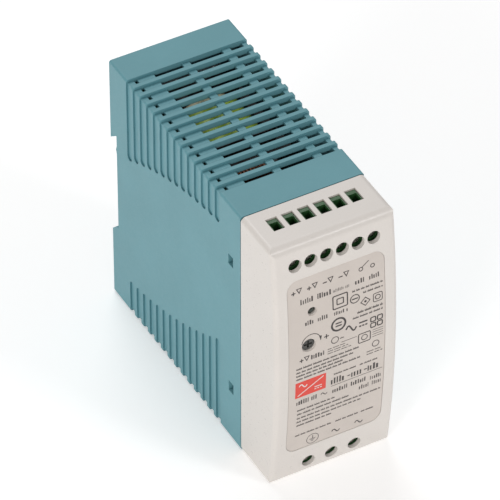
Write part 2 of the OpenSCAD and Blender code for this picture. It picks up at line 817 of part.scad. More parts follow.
module input_choke_windings() {
    color([0.72, 0.40, 0.20]) for (a0 = [20, 200])
        difference() {
            choke_ring(choke_r0 - 1, choke_r1 + 1, choke_h + 2, a0, 140);
            choke_ring(choke_r0 - 0.02, choke_r1 + 0.02, choke_h + 0.04, a0 - 5, 150);
        }
}

coil_y = -4.5;
coil_z = body_h - 10;
coil_d = 9;
coil_len = 20;

module output_choke_core() {
    color([0.22, 0.22, 0.22]) {
        rod_x(coil_y, coil_z, 5, part_x, part_x + coil_len);
        rod_x(coil_y, coil_z, coil_d, part_x, part_x + 1.5);
        rod_x(coil_y, coil_z, coil_d, part_x + coil_len - 1.5, part_x + coil_len);
    }
}

module output_choke_winding() {
    color([0.72, 0.40, 0.20]) difference() {
        rod_x(coil_y, coil_z, coil_d - 0.6, part_x + 1.6, part_x + coil_len - 1.6);
        rod_x(coil_y, coil_z, 5.1, part_x + 1, part_x + coil_len - 1);
    }
}

// Size of the mains filter capacitor: out from the board, front to back, and up
x_cap = [12, 8, 18];
x_cap_y = 3;
x_cap_z = 5;

module x_capacitor() {
    color([0.85, 0.75, 0.25]) translate([part_x, x_cap_y, x_cap_z]) cube(x_cap);
}

lead_d = 0.6;
disc_lead = 2.5; // bare lead between the board and a disc's edge

// A disc of diameter d and thickness t on two leads
module disc_part(y, z, d, t) {
    x = part_x + disc_lead + d / 2;
    rod_y(x, z, d, y - t / 2, y + t / 2);
    for (dz = [-d / 4, d / 4])
        rod_x(y, z + dz, lead_d, part_x, x);
}

y_cap_y = -3;
y_cap_zs = [33, 43];
surge_y = -3;
inrush_y = -10;
surge_z = 13;
surge_d = 11;
surge_t = 4;

module y_capacitors() {
    color([0.25, 0.45, 0.75]) for (z = y_cap_zs)
        disc_part(y_cap_y, z, 7.5, 3.4);
}

module varistor() {
    color([0.20, 0.35, 0.65]) disc_part(surge_y, surge_z, surge_d, surge_t);
}

module thermistor() {
    color([0.20, 0.30, 0.24]) disc_part(inrush_y, surge_z, surge_d, surge_t);
}

fuse_d = 5;
fuse_len = 20;
fuse_y = -17;
fuse_z = 6;
clip_w = 2;
clip_t = 1.2;

module fuse() {
    color([0.80, 0.78, 0.72]) translate([part_x + fuse_d, fuse_y, fuse_z]) cylinder(d = fuse_d, h = fuse_len);
    color("silver") for (z = [fuse_z + clip_w, fuse_z + fuse_len - 2 * clip_w])
        box([part_x, fuse_y - clip_t / 2, z], [part_x + fuse_d - 1, fuse_y + clip_t / 2, z + clip_w]);
}

chip_lift = 0.6; // a chip's underside above the board
chip_lead = 0.6; // thickness of a chip's legs, and how far they stand out

// A chip with its legs in two rows, at its front and back
module chip(y, z, size, legs) {
    color([0.10, 0.10, 0.10]) translate([part_x + chip_lift, y, z]) cube(size);
    color("silver") for (i = [0:legs - 1], yy = [y - chip_lead, y + size[1]]) {
        zc = z + (i + 0.5) * size[2] / legs;
        box([part_x, yy, zc - 0.25], [part_x + chip_lift + 1, yy + chip_lead, zc + 0.25]);
    }
}

opto_y = header_end_y + 2.3;
opto_zs = [33, 43];

module optocouplers() {
    for (z = opto_zs)
        chip(opto_y, z, [3.4, 6.4, 4.6], 2);
}

controller_y = -12;
controller_z = 26;

module controller_chip() {
    chip(controller_y, controller_z, [1.5, 4, 5], 4);
}

relay_size = [10, 10, 12];
relay_y = -24;
relay_z = body_h - 18;

module relay() {
    color([0.16, 0.17, 0.18]) translate([part_x, relay_y, relay_z]) cube(relay_size);
}

bridge_size = [15, 3.6, 20];
bridge_y = 37;
bridge_z = 7;
bridge_lift = 4; // length of its legs
bridge_leg = 1;
bridge_leg_t = 0.8;

module bridge_rectifier() {
    color([0.12, 0.12, 0.12]) translate([part_x + bridge_lift, bridge_y, bridge_z]) cube(bridge_size);
    mid_y = bridge_y + bridge_size[1] / 2;
    color("silver") for (i = [0:3]) {
        z = bridge_z + 2 + i * 5;
        box([part_x, mid_y - bridge_leg_t / 2, z],
            [part_x + bridge_lift, mid_y + bridge_leg_t / 2, z + bridge_leg]);
    }
}

sink_t = 2;
sink_len = 26;
sink_h = 24;
primary_sink_y = 26;
primary_sink_z = 30;
secondary_sink_y = 38;
secondary_sink_z = body_h - 29;
device_x = part_x + 14;
device_hole_d = 3.2;
device_screw_d = 3;
screw_cap_d = 5.5;
screw_cap_t = 1.8;
nut_d = 6;
nut_t = 2.2;
tab_t = 1.3;
case_t = 4.4;
case_w = 10;
tab_len = 10; // from the case's edge to the tab's far end
case_len = 6;
tab_lead = [0.6, 0.8]; // front to back, and up

// The plate that carries heat away from one device
module heatsink(y, z) {
    color([0.78, 0.79, 0.80]) difference() {
        box([part_x, y, z], [part_x + sink_len, y + sink_t, z + sink_h]);
        rod_y(device_x, z + sink_h / 2, device_hole_d, y - over, y + sink_t + over);
    }
}

// A three-lead device whose tab lies against the back of its heatsink
module tab_device(y, z) {
    zc = z + sink_h / 2;
    yt = y + sink_t;
    x = device_x + case_w / 2 - 1 - tab_len; // where the case ends and the tab starts
    color([0.70, 0.71, 0.72]) difference() {
        box([x, yt, zc - case_w / 2], [x + tab_len, yt + tab_t, zc + case_w / 2]);
        rod_y(device_x, zc, device_hole_d, yt - over, yt + tab_t + over);
    }
    color([0.10, 0.10, 0.10])
        box([x - case_len, yt, zc - case_w / 2], [x, yt + case_t, zc + case_w / 2]);
    color("silver") for (dz = [-link_pitch, 0, link_pitch])
        box([part_x, yt + 1.6, zc + dz - tab_lead[1] / 2],
            [x - case_len, yt + 1.6 + tab_lead[0], zc + dz + tab_lead[1] / 2]);
}

// The screw, head at the back, with its nut against the front of the heatsink
module device_screw(y, z) {
    zc = z + sink_h / 2;
    head = y + sink_t + tab_t;
    color("silver") {
        rod_y(device_x, zc, device_screw_d, y - nut_t - 0.2, head + 0.05);
        difference() {
            rod_y(device_x, zc, screw_cap_d, head, head + screw_cap_t);
            box([device_x - 2, head + 0.9, zc - 0.4], [device_x + 2, head + screw_cap_t + over, zc + 0.4]);
        }
        translate([device_x, y - 0.05, zc]) rotate([90, 0, 0]) cylinder(d = nut_d, h = nut_t, $fn = 6);
    }
}

module primary_heatsink() {
    heatsink(primary_sink_y, primary_sink_z);
}

module power_transistor() {
    tab_device(primary_sink_y, primary_sink_z);
}

module secondary_heatsink() {
    heatsink(secondary_sink_y, secondary_sink_z);
}

module output_diode() {
    tab_device(secondary_sink_y, secondary_sink_z);
}

module device_screws() {
    device_screw(primary_sink_y, primary_sink_z);
    device_screw(secondary_sink_y, secondary_sink_z);
}

// ---- Lamp and trimmer on the indicator board ----

// The lamp's nose and the trimmer's rotor stand in the cover's holes, just below the label
lamp_d = lamp_hole_d - clearance;
lamp_crown = 0.5;
lamp_crown_r = (pow(lamp_d / 2, 2) + pow(lamp_crown, 2)) / (2 * lamp_crown);
lamp_tip_y = front_y + bow_fall(lamp_z - mid_z) + label_recess + 0.1;

module status_lamp() {
    base_y = indicator_board_y - 0.05;
    color([0.20, 0.55, 0.25]) {
        rod_y(lamp_x, lamp_z, lamp_d + 0.8, base_y - 1, base_y);
        intersection() {
            translate([lamp_x, lamp_tip_y + lamp_crown_r, lamp_z]) sphere(r = lamp_crown_r);
            rod_y(lamp_x, lamp_z, lamp_d, lamp_tip_y - over, lamp_tip_y + lamp_crown_r);
        }
        rod_y(lamp_x, lamp_z, lamp_d, lamp_tip_y + lamp_crown_r, base_y);
    }
}

rotor_d = trim_hole_d - 2 * clearance;
rotor_y = front_y + bow_fall(trim_z - mid_z) + label_recess + 0.3;
trimmer_face_y = front_y + 3.2;
rotor_end_y = trimmer_face_y + 1.3;
trimmer_side = 6.8;

module trimmer_body() {
    color([0.20, 0.35, 0.60]) difference() {
        box([trim_x - trimmer_side / 2, trimmer_face_y, trim_z - trimmer_side / 2],
            [trim_x + trimmer_side / 2, indicator_board_y - 0.05, trim_z + trimmer_side / 2]);
        rod_y(trim_x, trim_z, rotor_d + 0.1, trimmer_face_y - over, rotor_end_y + 0.1);
    }
}

module trimmer_rotor() {
    color([0.92, 0.92, 0.88]) difference() {
        rod_y(trim_x, trim_z, rotor_d, rotor_y, rotor_end_y);
        box([trim_x - 0.3, rotor_y - over, trim_z - 1.3], [trim_x + 0.3, rotor_y + 0.6, trim_z + 1.3]);
        box([trim_x - 1.3, rotor_y - over, trim_z - 0.3], [trim_x + 1.3, rotor_y + 0.6, trim_z + 0.3]);
    }
}

rear_housing();
front_cover();
front_label();
rail_latch();
latch_spring();
output_terminal_housing();
output_contacts();
output_screw(0);  // output_screw_1
output_screw(1);  // output_screw_2
output_screw(2);  // output_screw_3
output_screw(3);  // output_screw_4
output_screw(4);  // output_screw_5
output_screw(5);  // output_screw_6
output_cage(0);  // output_cage_1
output_cage(1);  // output_cage_2
output_cage(2);  // output_cage_3
output_cage(3);  // output_cage_4
output_cage(4);  // output_cage_5
output_cage(5);  // output_cage_6
input_terminal_housing();
input_contacts();
input_screw(0);  // input_screw_1
input_screw(1);  // input_screw_2
input_screw(2);  // input_screw_3
input_cage(0);  // input_cage_1
input_cage(1);  // input_cage_2
input_cage(2);  // input_cage_3
main_board();
terminal_board();
indicator_board();
board_headers();
insulation_sheet();
transformer_core();
transformer_bobbin();
transformer_winding();
bulk_capacitor();
output_capacitors();
input_choke_core();
input_choke_windings();
output_choke_core();
output_choke_winding();
x_capacitor();
y_capacitors();
bridge_rectifier();
primary_heatsink();
power_transistor();
secondary_heatsink();
output_diode();
device_screws();
fuse();
thermistor();
varistor();
relay();
optocouplers();
controller_chip();
status_lamp();
trimmer_body();
trimmer_rotor();
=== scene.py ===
"""Looks of the rail power supply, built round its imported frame.

Everything is in metres, +Z up, with the front cover facing -Y and the rail seat +Y. CAD nodes whose
shape is right keep it and get a material here. Wound, sleeved, threaded and printed pieces are built
in mesh code and stand for the plain CAD solids.
"""

import math
import random

import bmesh
import bpy
from mathutils import Matrix, Vector


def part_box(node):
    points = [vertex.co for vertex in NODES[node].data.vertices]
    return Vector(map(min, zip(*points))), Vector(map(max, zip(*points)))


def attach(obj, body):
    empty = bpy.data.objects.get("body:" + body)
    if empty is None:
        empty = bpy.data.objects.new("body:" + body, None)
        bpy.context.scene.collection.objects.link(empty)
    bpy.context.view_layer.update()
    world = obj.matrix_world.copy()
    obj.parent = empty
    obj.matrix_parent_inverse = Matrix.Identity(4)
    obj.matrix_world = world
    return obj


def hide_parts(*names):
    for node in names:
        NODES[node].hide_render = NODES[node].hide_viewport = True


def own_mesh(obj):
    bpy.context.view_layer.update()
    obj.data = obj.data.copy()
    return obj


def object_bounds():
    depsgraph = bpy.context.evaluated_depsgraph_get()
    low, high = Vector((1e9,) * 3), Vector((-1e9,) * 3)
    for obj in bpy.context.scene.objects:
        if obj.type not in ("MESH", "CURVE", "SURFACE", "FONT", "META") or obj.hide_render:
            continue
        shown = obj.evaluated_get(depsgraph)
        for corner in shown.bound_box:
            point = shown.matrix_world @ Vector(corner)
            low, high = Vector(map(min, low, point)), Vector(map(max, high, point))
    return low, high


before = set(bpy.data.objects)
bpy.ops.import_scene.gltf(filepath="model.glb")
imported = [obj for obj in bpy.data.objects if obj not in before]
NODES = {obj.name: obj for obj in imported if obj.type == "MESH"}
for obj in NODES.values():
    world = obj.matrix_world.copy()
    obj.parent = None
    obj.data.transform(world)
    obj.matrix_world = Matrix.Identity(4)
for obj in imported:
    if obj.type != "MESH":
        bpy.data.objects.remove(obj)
CAD_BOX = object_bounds()
MM = 0.001


# ---------------------------------------------------------------- camera, floor and light

VIEW_AZIMUTH = math.radians(-28.9)
VIEW_ELEVATION = math.radians(41.62)
VIEW_DISTANCE = 1480 * MM
VIEW_LENS = 365.7
VIEW_AIM = (-0.68 * MM, 1.23 * MM)  # from the object's middle to the picture's, right and up


def make_camera():
    middle = (CAD_BOX[0] + CAD_BOX[1]) / 2
    a, e = VIEW_AZIMUTH, VIEW_ELEVATION
    back = Vector((math.sin(a) * math.cos(e), -math.cos(a) * math.cos(e), math.sin(e)))
    right = Vector((math.cos(a), math.sin(a), 0))
    up = back.cross(right)
    data = bpy.data.cameras.new("camera")
    data.lens = VIEW_LENS
    data.sensor_width = 36
    data.clip_start = 0.01
    data.clip_end = 50
    cam = bpy.data.objects.new("camera", data)
    cam.matrix_world = Matrix((right, up, back)).transposed().to_4x4()
    cam.location = middle + right * VIEW_AIM[0] + up * VIEW_AIM[1] + back * VIEW_DISTANCE
    bpy.context.scene.collection.objects.link(cam)
    bpy.context.scene.camera = cam


def make_light(name, place, aim, size, power, colour=(1, 1, 1)):
    data = bpy.data.lights.new(name, "AREA")
    data.shape = "DISK"
    data.size = size
    data.energy = power
    data.color = colour
    light = bpy.data.objects.new(name, data)
    light.location = place
    light.rotation_euler = (Vector(aim) - Vector(place)).to_track_quat("-Z", "Y").to_euler()
    bpy.context.scene.collection.objects.link(light)


def make_studio():
    world = bpy.data.worlds.new("studio")
    world.use_nodes = True
    sky = world.node_tree.nodes["Background"]
    sky.inputs["Color"].default_value = (1.0, 0.995, 0.985, 1)
    sky.inputs["Strength"].default_value = 0.36
    bpy.context.scene.world = world
    aim = (0, 0, 0.04)
    make_light("key", (-1.1, -0.75, 0.62), aim, 0.5, 6.6, (1, 0.985, 0.965))
    make_light("brow", (0.5, -0.9, 0.93), aim, 0.3, 3.0)
    make_light("top", (0.15, 0.8, 1.25), aim, 0.9, 7.0, (0.985, 0.99, 1))
    bpy.context.scene.view_settings.view_transform = "Standard"

    reach = 6.0
    gap = 0.02 * MM  # keeps the floor from lying in the base's own plane
    mesh = bpy.data.meshes.new("floor")
    mesh.from_pydata([(-reach, -reach, 0), (reach, -reach, 0), (reach, reach, 0), (-reach, reach, 0)], [],
                     [(0, 1, 2, 3)])
    floor = bpy.data.objects.new("floor", mesh)
    floor.location.z = CAD_BOX[0].z - gap
    bpy.context.scene.collection.objects.link(floor)
    paint = bpy.data.materials.new("floor_paper")
    paint.use_nodes = True
    shader = paint.node_tree.nodes["Principled BSDF"]
    shader.inputs["Base Color"].default_value = (0.93, 0.93, 0.93, 1)
    shader.inputs["Roughness"].default_value = 0.9
    shader.inputs["Emission Color"].default_value = (1, 1, 1, 1)
    shader.inputs["Emission Strength"].default_value = 0.3
    floor.data.materials.append(paint)


# ---------------------------------------------------------------- materials

class Tree:
    """A material's node tree, with short calls to add and join its nodes."""

    def __init__(self, name):
        self.material = bpy.data.materials.new(name)
        self.material.use_nodes = True
        self.nodes = self.material.node_tree.nodes
        self.links = self.material.node_tree.links
        self.shader = self.nodes["Principled BSDF"]
        self.place = self.add("ShaderNodeTexCoord").outputs["Object"]

    def add(self, kind, inputs=None, **settings):
        node = self.nodes.new(kind)
        for key, value in settings.items():
            setattr(node, key, value)
        for key, value in (inputs or {}).items():
            self.feed(node.inputs[key], value)
        return node

    def feed(self, socket, value):
        if isinstance(value, bpy.types.NodeSocket):
            self.links.new(value, socket)
        else:
            socket.default_value = value

    def set(self, **values):
        for key, value in values.items():
            self.feed(self.shader.inputs[key.replace("_", " ").title().replace("Ior", "IOR")], value)

    def noise(self, size, detail=2.0, stretch=(1, 1, 1)):
        """Noise from 0 to 1 whose features are about size metres across, longer where stretch is small."""
        spread = self.add("ShaderNodeVectorMath", {0: self.place, 1: stretch}, operation="MULTIPLY")
        node = self.add("ShaderNodeTexNoise", {"Scale": 1 / size, "Detail": detail})
        self.links.new(spread.outputs[0], node.inputs["Vector"])
        return node.outputs[0]

    def ramp(self, value, low, high, to_low=0.0, to_high=1.0):
        """value, from low to high, spread over to_low to to_high and held there."""
        node = self.add("ShaderNodeMapRange", {"Value": value, "From Min": low, "From Max": high,
                                               "To Min": to_low, "To Max": to_high})
        return node.outputs[0]

    def math(self, operation, a, b=0.0):
        return self.add("ShaderNodeMath", {0: a, 1: b}, operation=operation).outputs[0]

    def mix(self, share, a, b):
        """Colour a where share is 0 and b where it is 1."""
        node = self.add("ShaderNodeMix", data_type="RGBA")
        self.feed(node.inputs[0], share)
        for socket, value in ((node.inputs[6], a), (node.inputs[7], b)):
            self.feed(socket, value if isinstance(value, bpy.types.NodeSocket) else (*value, 1))
        return node.outputs[2]

    def soft_edges(self, radius):
        """The normal with edges rounded by radius, and how much of an edge is near, from 0 to 1."""
        bevel = self.add("ShaderNodeBevel", {"Radius": radius}, samples=6)
        true = self.add("ShaderNodeNewGeometry").outputs["True Normal"]
        along = self.add("ShaderNodeVectorMath", {0: bevel.outputs[0], 1: true}, operation="DOT_PRODUCT")
        edge = self.ramp(along.outputs["Value"], 0.995, 0.85)
        return bevel.outputs[0], edge

    def cavity(self, reach):
        """How deep in an inner corner a place is: 0 in the open, 1 in a corner narrower than reach. It marks
        where painted shade goes.
        """
        node = self.add("ShaderNodeAmbientOcclusion", {"Distance": reach}, samples=6)
        return self.ramp(node.outputs["AO"], 0.85, 0.35)

    def bump(self, height, depth, normal=None):
        """The shader's normal: normal, if one is given, raised by height times depth."""
        node = self.add("ShaderNodeBump", {"Height": height, "Distance": depth, "Strength": 1.0})
        if normal is not None:
            self.links.new(normal, node.inputs["Normal"])
        self.links.new(node.outputs[0], self.shader.inputs["Normal"])


def shade(colour, factor):
    return tuple(min(1.0, c * factor) for c in colour)


def moulded(name, colour, roughness=0.45, grain=0.35 * MM, depth=0.012 * MM, edge=0.12 * MM, tone=0.05,
            wear_and_highlight=0.25, gloss=0.5, dust_and_painted_shade=0.0):
    """Moulded plastic: spark-eroded grain, faint flow tone, soft edges painted a little paler (partly rubbed,
    partly painted highlight), and, where the last argument is over 0, inner corners darkened with painted
    shade."""
    t = Tree(name)
    grain_map = t.noise(grain, 3)
    flow = t.noise(14 * MM, 2)
    scuff = t.noise(1.8 * MM, 4)
    normal, near_edge = t.soft_edges(edge)
    base = t.mix(t.ramp(flow, 0.3, 0.7), shade(colour, 1 - tone), shade(colour, 1 + tone))
    base = t.mix(t.math("MULTIPLY", t.ramp(grain_map, 0.35, 0.75), 0.12), base, shade(colour, 0.82))
    # edges mixed towards a paler colour, broken up by scuff noise: partly rubbed edges, partly painted
    # highlight
    rub_and_highlight = t.math("MULTIPLY", t.math("MULTIPLY", near_edge, t.ramp(scuff, 0.35, 0.65)), wear_and_highlight)
    pale = tuple(0.5 * c + 0.5 * max(colour) for c in shade(colour, 1.25))
    base = t.mix(rub_and_highlight, base, pale)
    # inner corners and grooves darkened towards a deeper colour: painted shade
    if dust_and_painted_shade:
        base = t.mix(t.math("MULTIPLY", t.cavity(1.1 * MM), dust_and_painted_shade), base, tuple(c ** 1.9 for c in colour))
    t.set(base_color=base)
    t.set(roughness=t.ramp(t.math("ADD", t.math("MULTIPLY", grain_map, 0.6), t.math("MULTIPLY", scuff, 0.4)),
                           0.3, 0.7, roughness - 0.06, roughness + 0.08))
    t.shader.inputs["Specular IOR Level"].default_value = gloss
    t.bump(grain_map, depth, normal)
    return t.material


def metal(name, colour, roughness=0.3, brushed=(1, 1, 1), streak=0.25 * MM, depth=0.004 * MM, tarnish=0.25):
    """Plated or drawn metal: fine streaks along the axis that brushed squeezes, with dull patches."""
    t = Tree(name)
    lines = t.noise(streak, 4, brushed)
    patches = t.noise(3 * MM, 3)
    normal, near_edge = t.soft_edges(0.06 * MM)
    dull = t.math("MULTIPLY", t.ramp(patches, 0.45, 0.7), tarnish)
    base = t.mix(dull, colour, shade(colour, 0.62))
    # inner corners darkened almost to black: painted shade
    base = t.mix(t.math("MULTIPLY", t.cavity(0.7 * MM), 0.8), base, shade(colour, 0.15))
    # edges mixed towards a paler colour: painted highlight
    t.set(base_color=t.mix(t.math("MULTIPLY", near_edge, 0.35), base, shade(colour, 1.25)))
    t.set(roughness=t.ramp(lines, 0.3, 0.7, roughness - 0.08, roughness + 0.12))
    t.shader.inputs["Metallic"].default_value = 1.0
    t.bump(lines, depth, normal)
    return t.material


def coated(name, colour, roughness=0.22, coat=0.5, lump=1.6 * MM, depth=0.03 * MM, tone=0.12):
    """A dipped, dripped or shrunk coating: gently uneven and glossy."""
    t = Tree(name)
    lumps = t.noise(lump, 2)
    dust_and_painted_shade = t.noise(0.3 * MM, 3)
    base = t.mix(t.ramp(lumps, 0.3, 0.7), shade(colour, 1 - tone), shade(colour, 1 + tone))
    t.set(base_color=t.mix(t.math("MULTIPLY", t.ramp(dust_and_painted_shade, 0.62, 0.75), 0.2), base, shade(colour, 1.6)))
    t.set(roughness=t.ramp(dust_and_painted_shade, 0.3, 0.7, roughness - 0.05, roughness + 0.1))
    t.shader.inputs["Coat Weight"].default_value = coat
    t.shader.inputs["Coat Roughness"].default_value = 0.12
    normal, _ = t.soft_edges(0.1 * MM)
    t.bump(lumps, depth, normal)
    return t.material


def laminate(name, across, up):
    """Solder-masked board: copper tracks that show as raised, paler lines, over glass weave.
    across and up are the axes, 0 to 2, that lie in the board."""
    t = Tree(name)
    split = t.add("ShaderNodeSeparateXYZ", {0: t.place})
    u, v = split.outputs[across], split.outputs[up]
    flat = t.add("ShaderNodeCombineXYZ", {0: u, 1: v}).outputs[0]
    cells = t.add("ShaderNodeTexVoronoi", {"Scale": 1 / (5.2 * MM), "Vector": flat, "Randomness": 0.65},
                  feature="DISTANCE_TO_EDGE", voronoi_dimensions="2D")
    track = t.ramp(cells.outputs["Distance"], 0.10, 0.075)
    dots = t.add("ShaderNodeTexVoronoi", {"Scale": 1 / (3.4 * MM), "Vector": flat, "Randomness": 0.55},
                 feature="F1", voronoi_dimensions="2D")
    via = t.ramp(dots.outputs["Distance"], 0.11, 0.08)
    weave = t.add("ShaderNodeTexWave", {"Scale": 1 / (1.1 * MM), "Vector": flat, "Distortion": 0.0})
    weave_up = t.add("ShaderNodeTexWave", {"Scale": 1 / (1.1 * MM), "Vector": flat}, bands_direction="Y")
    cloth = t.math("MULTIPLY", weave.outputs[1], weave_up.outputs[1])
    green = t.mix(cloth, (0.018, 0.085, 0.034), (0.026, 0.115, 0.045))
    green = t.mix(track, green, (0.045, 0.19, 0.07))
    t.set(base_color=t.mix(via, green, (0.62, 0.60, 0.55)))
    t.set(roughness=t.ramp(cloth, 0, 1, 0.28, 0.4))
    t.shader.inputs["Coat Weight"].default_value = 0.35
    t.shader.inputs["Coat Roughness"].default_value = 0.15
    t.bump(t.math("ADD", track, t.math("MULTIPLY", cloth, 0.15)), 0.035 * MM)
    return t.material


def printed_film(name, colour):
    """The label's film: a faint screen-printed stipple and a satin face."""
    t = Tree(name)
    stipple = t.noise(0.22 * MM, 2)
    cloud = t.noise(11 * MM, 2)
    base = t.mix(t.ramp(cloud, 0.3, 0.7), shade(colour, 0.97), shade(colour, 1.03))
    t.set(base_color=t.mix(t.math("MULTIPLY", t.ramp(stipple, 0.4, 0.7), 0.16), base, shade(colour, 0.80)))
    t.set(roughness=t.ramp(stipple, 0.3, 0.7, 0.42, 0.58))
    normal, _ = t.soft_edges(0.05 * MM)
    t.bump(stipple, 0.004 * MM, normal)
    return t.material


def ink(name, colour):
    """Screen-printed ink, thinner and paler in specks."""
    t = Tree(name)
    specks = t.noise(0.18 * MM, 3)
    t.set(base_color=t.mix(t.ramp(specks, 0.5, 0.8), colour, tuple(0.75 * c + 0.06 for c in colour)))
    t.set(roughness=t.ramp(specks, 0.3, 0.7, 0.35, 0.55))
    t.bump(specks, 0.003 * MM)
    return t.material


def winding_tape(name, colour):
    """Polyester tape wound in layers, so its folds run round the winding, with a glossy face."""
    t = Tree(name)
    layers = t.noise(1.4 * MM, 3, (0.25, 1, 0.25))
    haze = t.noise(0.4 * MM, 2)
    base = t.mix(t.ramp(layers, 0.3, 0.7), shade(colour, 0.82), shade(colour, 1.15))
    t.set(base_color=t.mix(t.math("MULTIPLY", t.ramp(haze, 0.5, 0.8), 0.15), base, shade(colour, 1.4)))
    t.set(roughness=t.ramp(haze, 0.3, 0.7, 0.22, 0.38))
    t.shader.inputs["Coat Weight"].default_value = 0.5
    t.shader.inputs["Coat Roughness"].default_value = 0.1
    t.bump(layers, 0.06 * MM)
    return t.material


def enamelled(name, colour):
    """Enamelled copper wire: a clear warm coat over drawn metal."""
    t = Tree(name)
    drawn = t.noise(0.3 * MM, 3)
    tint = t.noise(2.5 * MM, 2)
    t.set(base_color=t.mix(t.ramp(tint, 0.3, 0.7), shade(colour, 0.78), shade(colour, 1.12)))
    t.set(roughness=t.ramp(drawn, 0.3, 0.7, 0.2, 0.34))
    t.shader.inputs["Metallic"].default_value = 0.85
    t.shader.inputs["Coat Weight"].default_value = 0.8
    t.shader.inputs["Coat Roughness"].default_value = 0.06
    t.bump(drawn, 0.004 * MM)
    return t.material


def sleeve(name, colour, centre, stripe_colour):
    """A capacitor's shrunk sleeve round an axis along X: a pale stripe down one side, with dashes in it.
    centre is the axis's place in Y and Z."""
    t = Tree(name)
    split = t.add("ShaderNodeSeparateXYZ", {0: t.place})
    dy = t.math("SUBTRACT", split.outputs[1], centre[0])
    dz = t.math("SUBTRACT", split.outputs[2], centre[1])
    turn = t.math("ARCTAN2", dz, t.math("MULTIPLY", dy, -1.0))
    off = t.math("ABSOLUTE", turn)
    stripe = t.ramp(off, 0.36, 0.34)
    dash = t.math("MULTIPLY", t.ramp(off, 0.13, 0.11),
                  t.ramp(t.math("PINGPONG", split.outputs[0], 1.6 * MM), 0.85 * MM, 0.95 * MM))
    wrinkle = t.noise(1.2 * MM, 2, (0.4, 1, 1))
    base = t.mix(t.ramp(wrinkle, 0.3, 0.7), shade(colour, 0.85), shade(colour, 1.2))
    base = t.mix(stripe, base, stripe_colour)
    t.set(base_color=t.mix(dash, base, colour))
    t.set(roughness=t.ramp(wrinkle, 0.3, 0.7, 0.2, 0.34))
    t.shader.inputs["Coat Weight"].default_value = 0.4
    t.bump(wrinkle, 0.02 * MM)
    return t.material


def lens(name, colour):
    """Tinted epoxy of an unlit lamp, with a faint flow in it."""
    t = Tree(name)
    flow = t.noise(1.1 * MM, 2)
    t.set(base_color=t.mix(t.ramp(flow, 0.3, 0.7), shade(colour, 0.8), shade(colour, 1.2)))
    t.set(roughness=t.ramp(flow, 0.3, 0.7, 0.06, 0.14))
    t.shader.inputs["Transmission Weight"].default_value = 0.1
    t.shader.inputs["IOR"].default_value = 1.53
    t.bump(flow, 0.01 * MM)
    return t.material


TEAL = (0.137, 0.33, 0.377)
WARM_WHITE = (0.735, 0.69, 0.65)
FILM = (0.635, 0.572, 0.525)
INK = (0.045, 0.036, 0.034)
RED = (0.76, 0.055, 0.035)

M = {
    # housing and cover: the last argument darkens their grooves and holes with painted shade
    "housing": moulded("teal_housing", TEAL, 0.46, 0.32 * MM, 0.010 * MM, 0.13 * MM, 0.03, gloss=0.35,
                       dust_and_painted_shade=0.75),
    "cover": moulded("warm_white_cover", WARM_WHITE, 0.31, 0.45 * MM, 0.005 * MM, 0.18 * MM, 0.012, 0.3, 0.5,
                     0.55),
    "label": printed_film("label_film", FILM),
    "latch": moulded("dark_teal_latch", (0.10, 0.22, 0.25), 0.42, 0.3 * MM, 0.010 * MM, 0.15 * MM),
    "spring": metal("spring_wire", (0.62, 0.62, 0.61), 0.24),
    "terminal_green": moulded("green_terminal", (0.028, 0.098, 0.03), 0.30, 0.5 * MM, 0.006 * MM, 0.1 * MM),
    "clamp_steel": metal("zinc_plate", (0.66, 0.65, 0.61), 0.28),
    "contact": metal("tinned_contact", (0.68, 0.60, 0.42), 0.3, (1, 1, 0.2)),
    "board_side": laminate("board_mask_side", 1, 2),
    "board_front": laminate("board_mask_front", 0, 2),
    "black_plastic": moulded("black_epoxy", (0.022, 0.022, 0.023), 0.36, 0.25 * MM, 0.008 * MM, 0.1 * MM),
    "grey_lid": moulded("relay_case", (0.03, 0.034, 0.04), 0.30, 0.4 * MM, 0.006 * MM, 0.12 * MM),
    "sheet": moulded("insulation_film", (0.55, 0.52, 0.40), 0.34, 0.6 * MM, 0.006 * MM, 0.05 * MM),
    "ferrite": moulded("sintered_ferrite", (0.040, 0.040, 0.043), 0.55, 0.28 * MM, 0.02 * MM, 0.2 * MM, 0.1),
    "tape": winding_tape("yellow_tape", (0.40, 0.56, 0.07)),
    "margin": winding_tape("margin_tape", (0.62, 0.58, 0.40)),
    "copper": enamelled("enamelled_copper", (0.34, 0.15, 0.085)),
    "film_cap": moulded("potted_box", (0.66, 0.47, 0.06), 0.34, 0.5 * MM, 0.006 * MM, 0.15 * MM),
    "blue_disc": coated("blue_dip", (0.025, 0.10, 0.42)),
    "green_disc": coated("green_dip", (0.02, 0.065, 0.035)),
    "heatsink": metal("mill_aluminium", (0.74, 0.75, 0.76), 0.34, (1, 1, 0.12)),
    "ceramic": moulded("fuse_ceramic", (0.66, 0.62, 0.52), 0.3, 0.4 * MM, 0.006 * MM, 0.1 * MM),
    "lamp_lens": lens("lamp_epoxy", (0.014, 0.022, 0.014)),
    "trimmer_blue": moulded("trimmer_case", (0.03, 0.10, 0.36), 0.3, 0.4 * MM, 0.006 * MM, 0.1 * MM),
    "rotor": moulded("trimmer_rotor_grey", (0.055, 0.054, 0.05), 0.35, 0.3 * MM, 0.006 * MM, 0.06 * MM),
    "ink": ink("label_ink", INK),
    "grey_ink": ink("label_grey_ink", (0.115, 0.10, 0.092)),
    "red_ink": ink("label_red_ink", RED),
    "pale_ink": ink("label_pale_ink", (0.78, 0.72, 0.68)),
    "bung": moulded("rubber_bung", (0.02, 0.02, 0.02), 0.6, 0.3 * MM, 0.01 * MM, 0.2 * MM),
    "can": metal("capacitor_can", (0.72, 0.73, 0.74), 0.3, (1, 0.3, 0.3)),
}

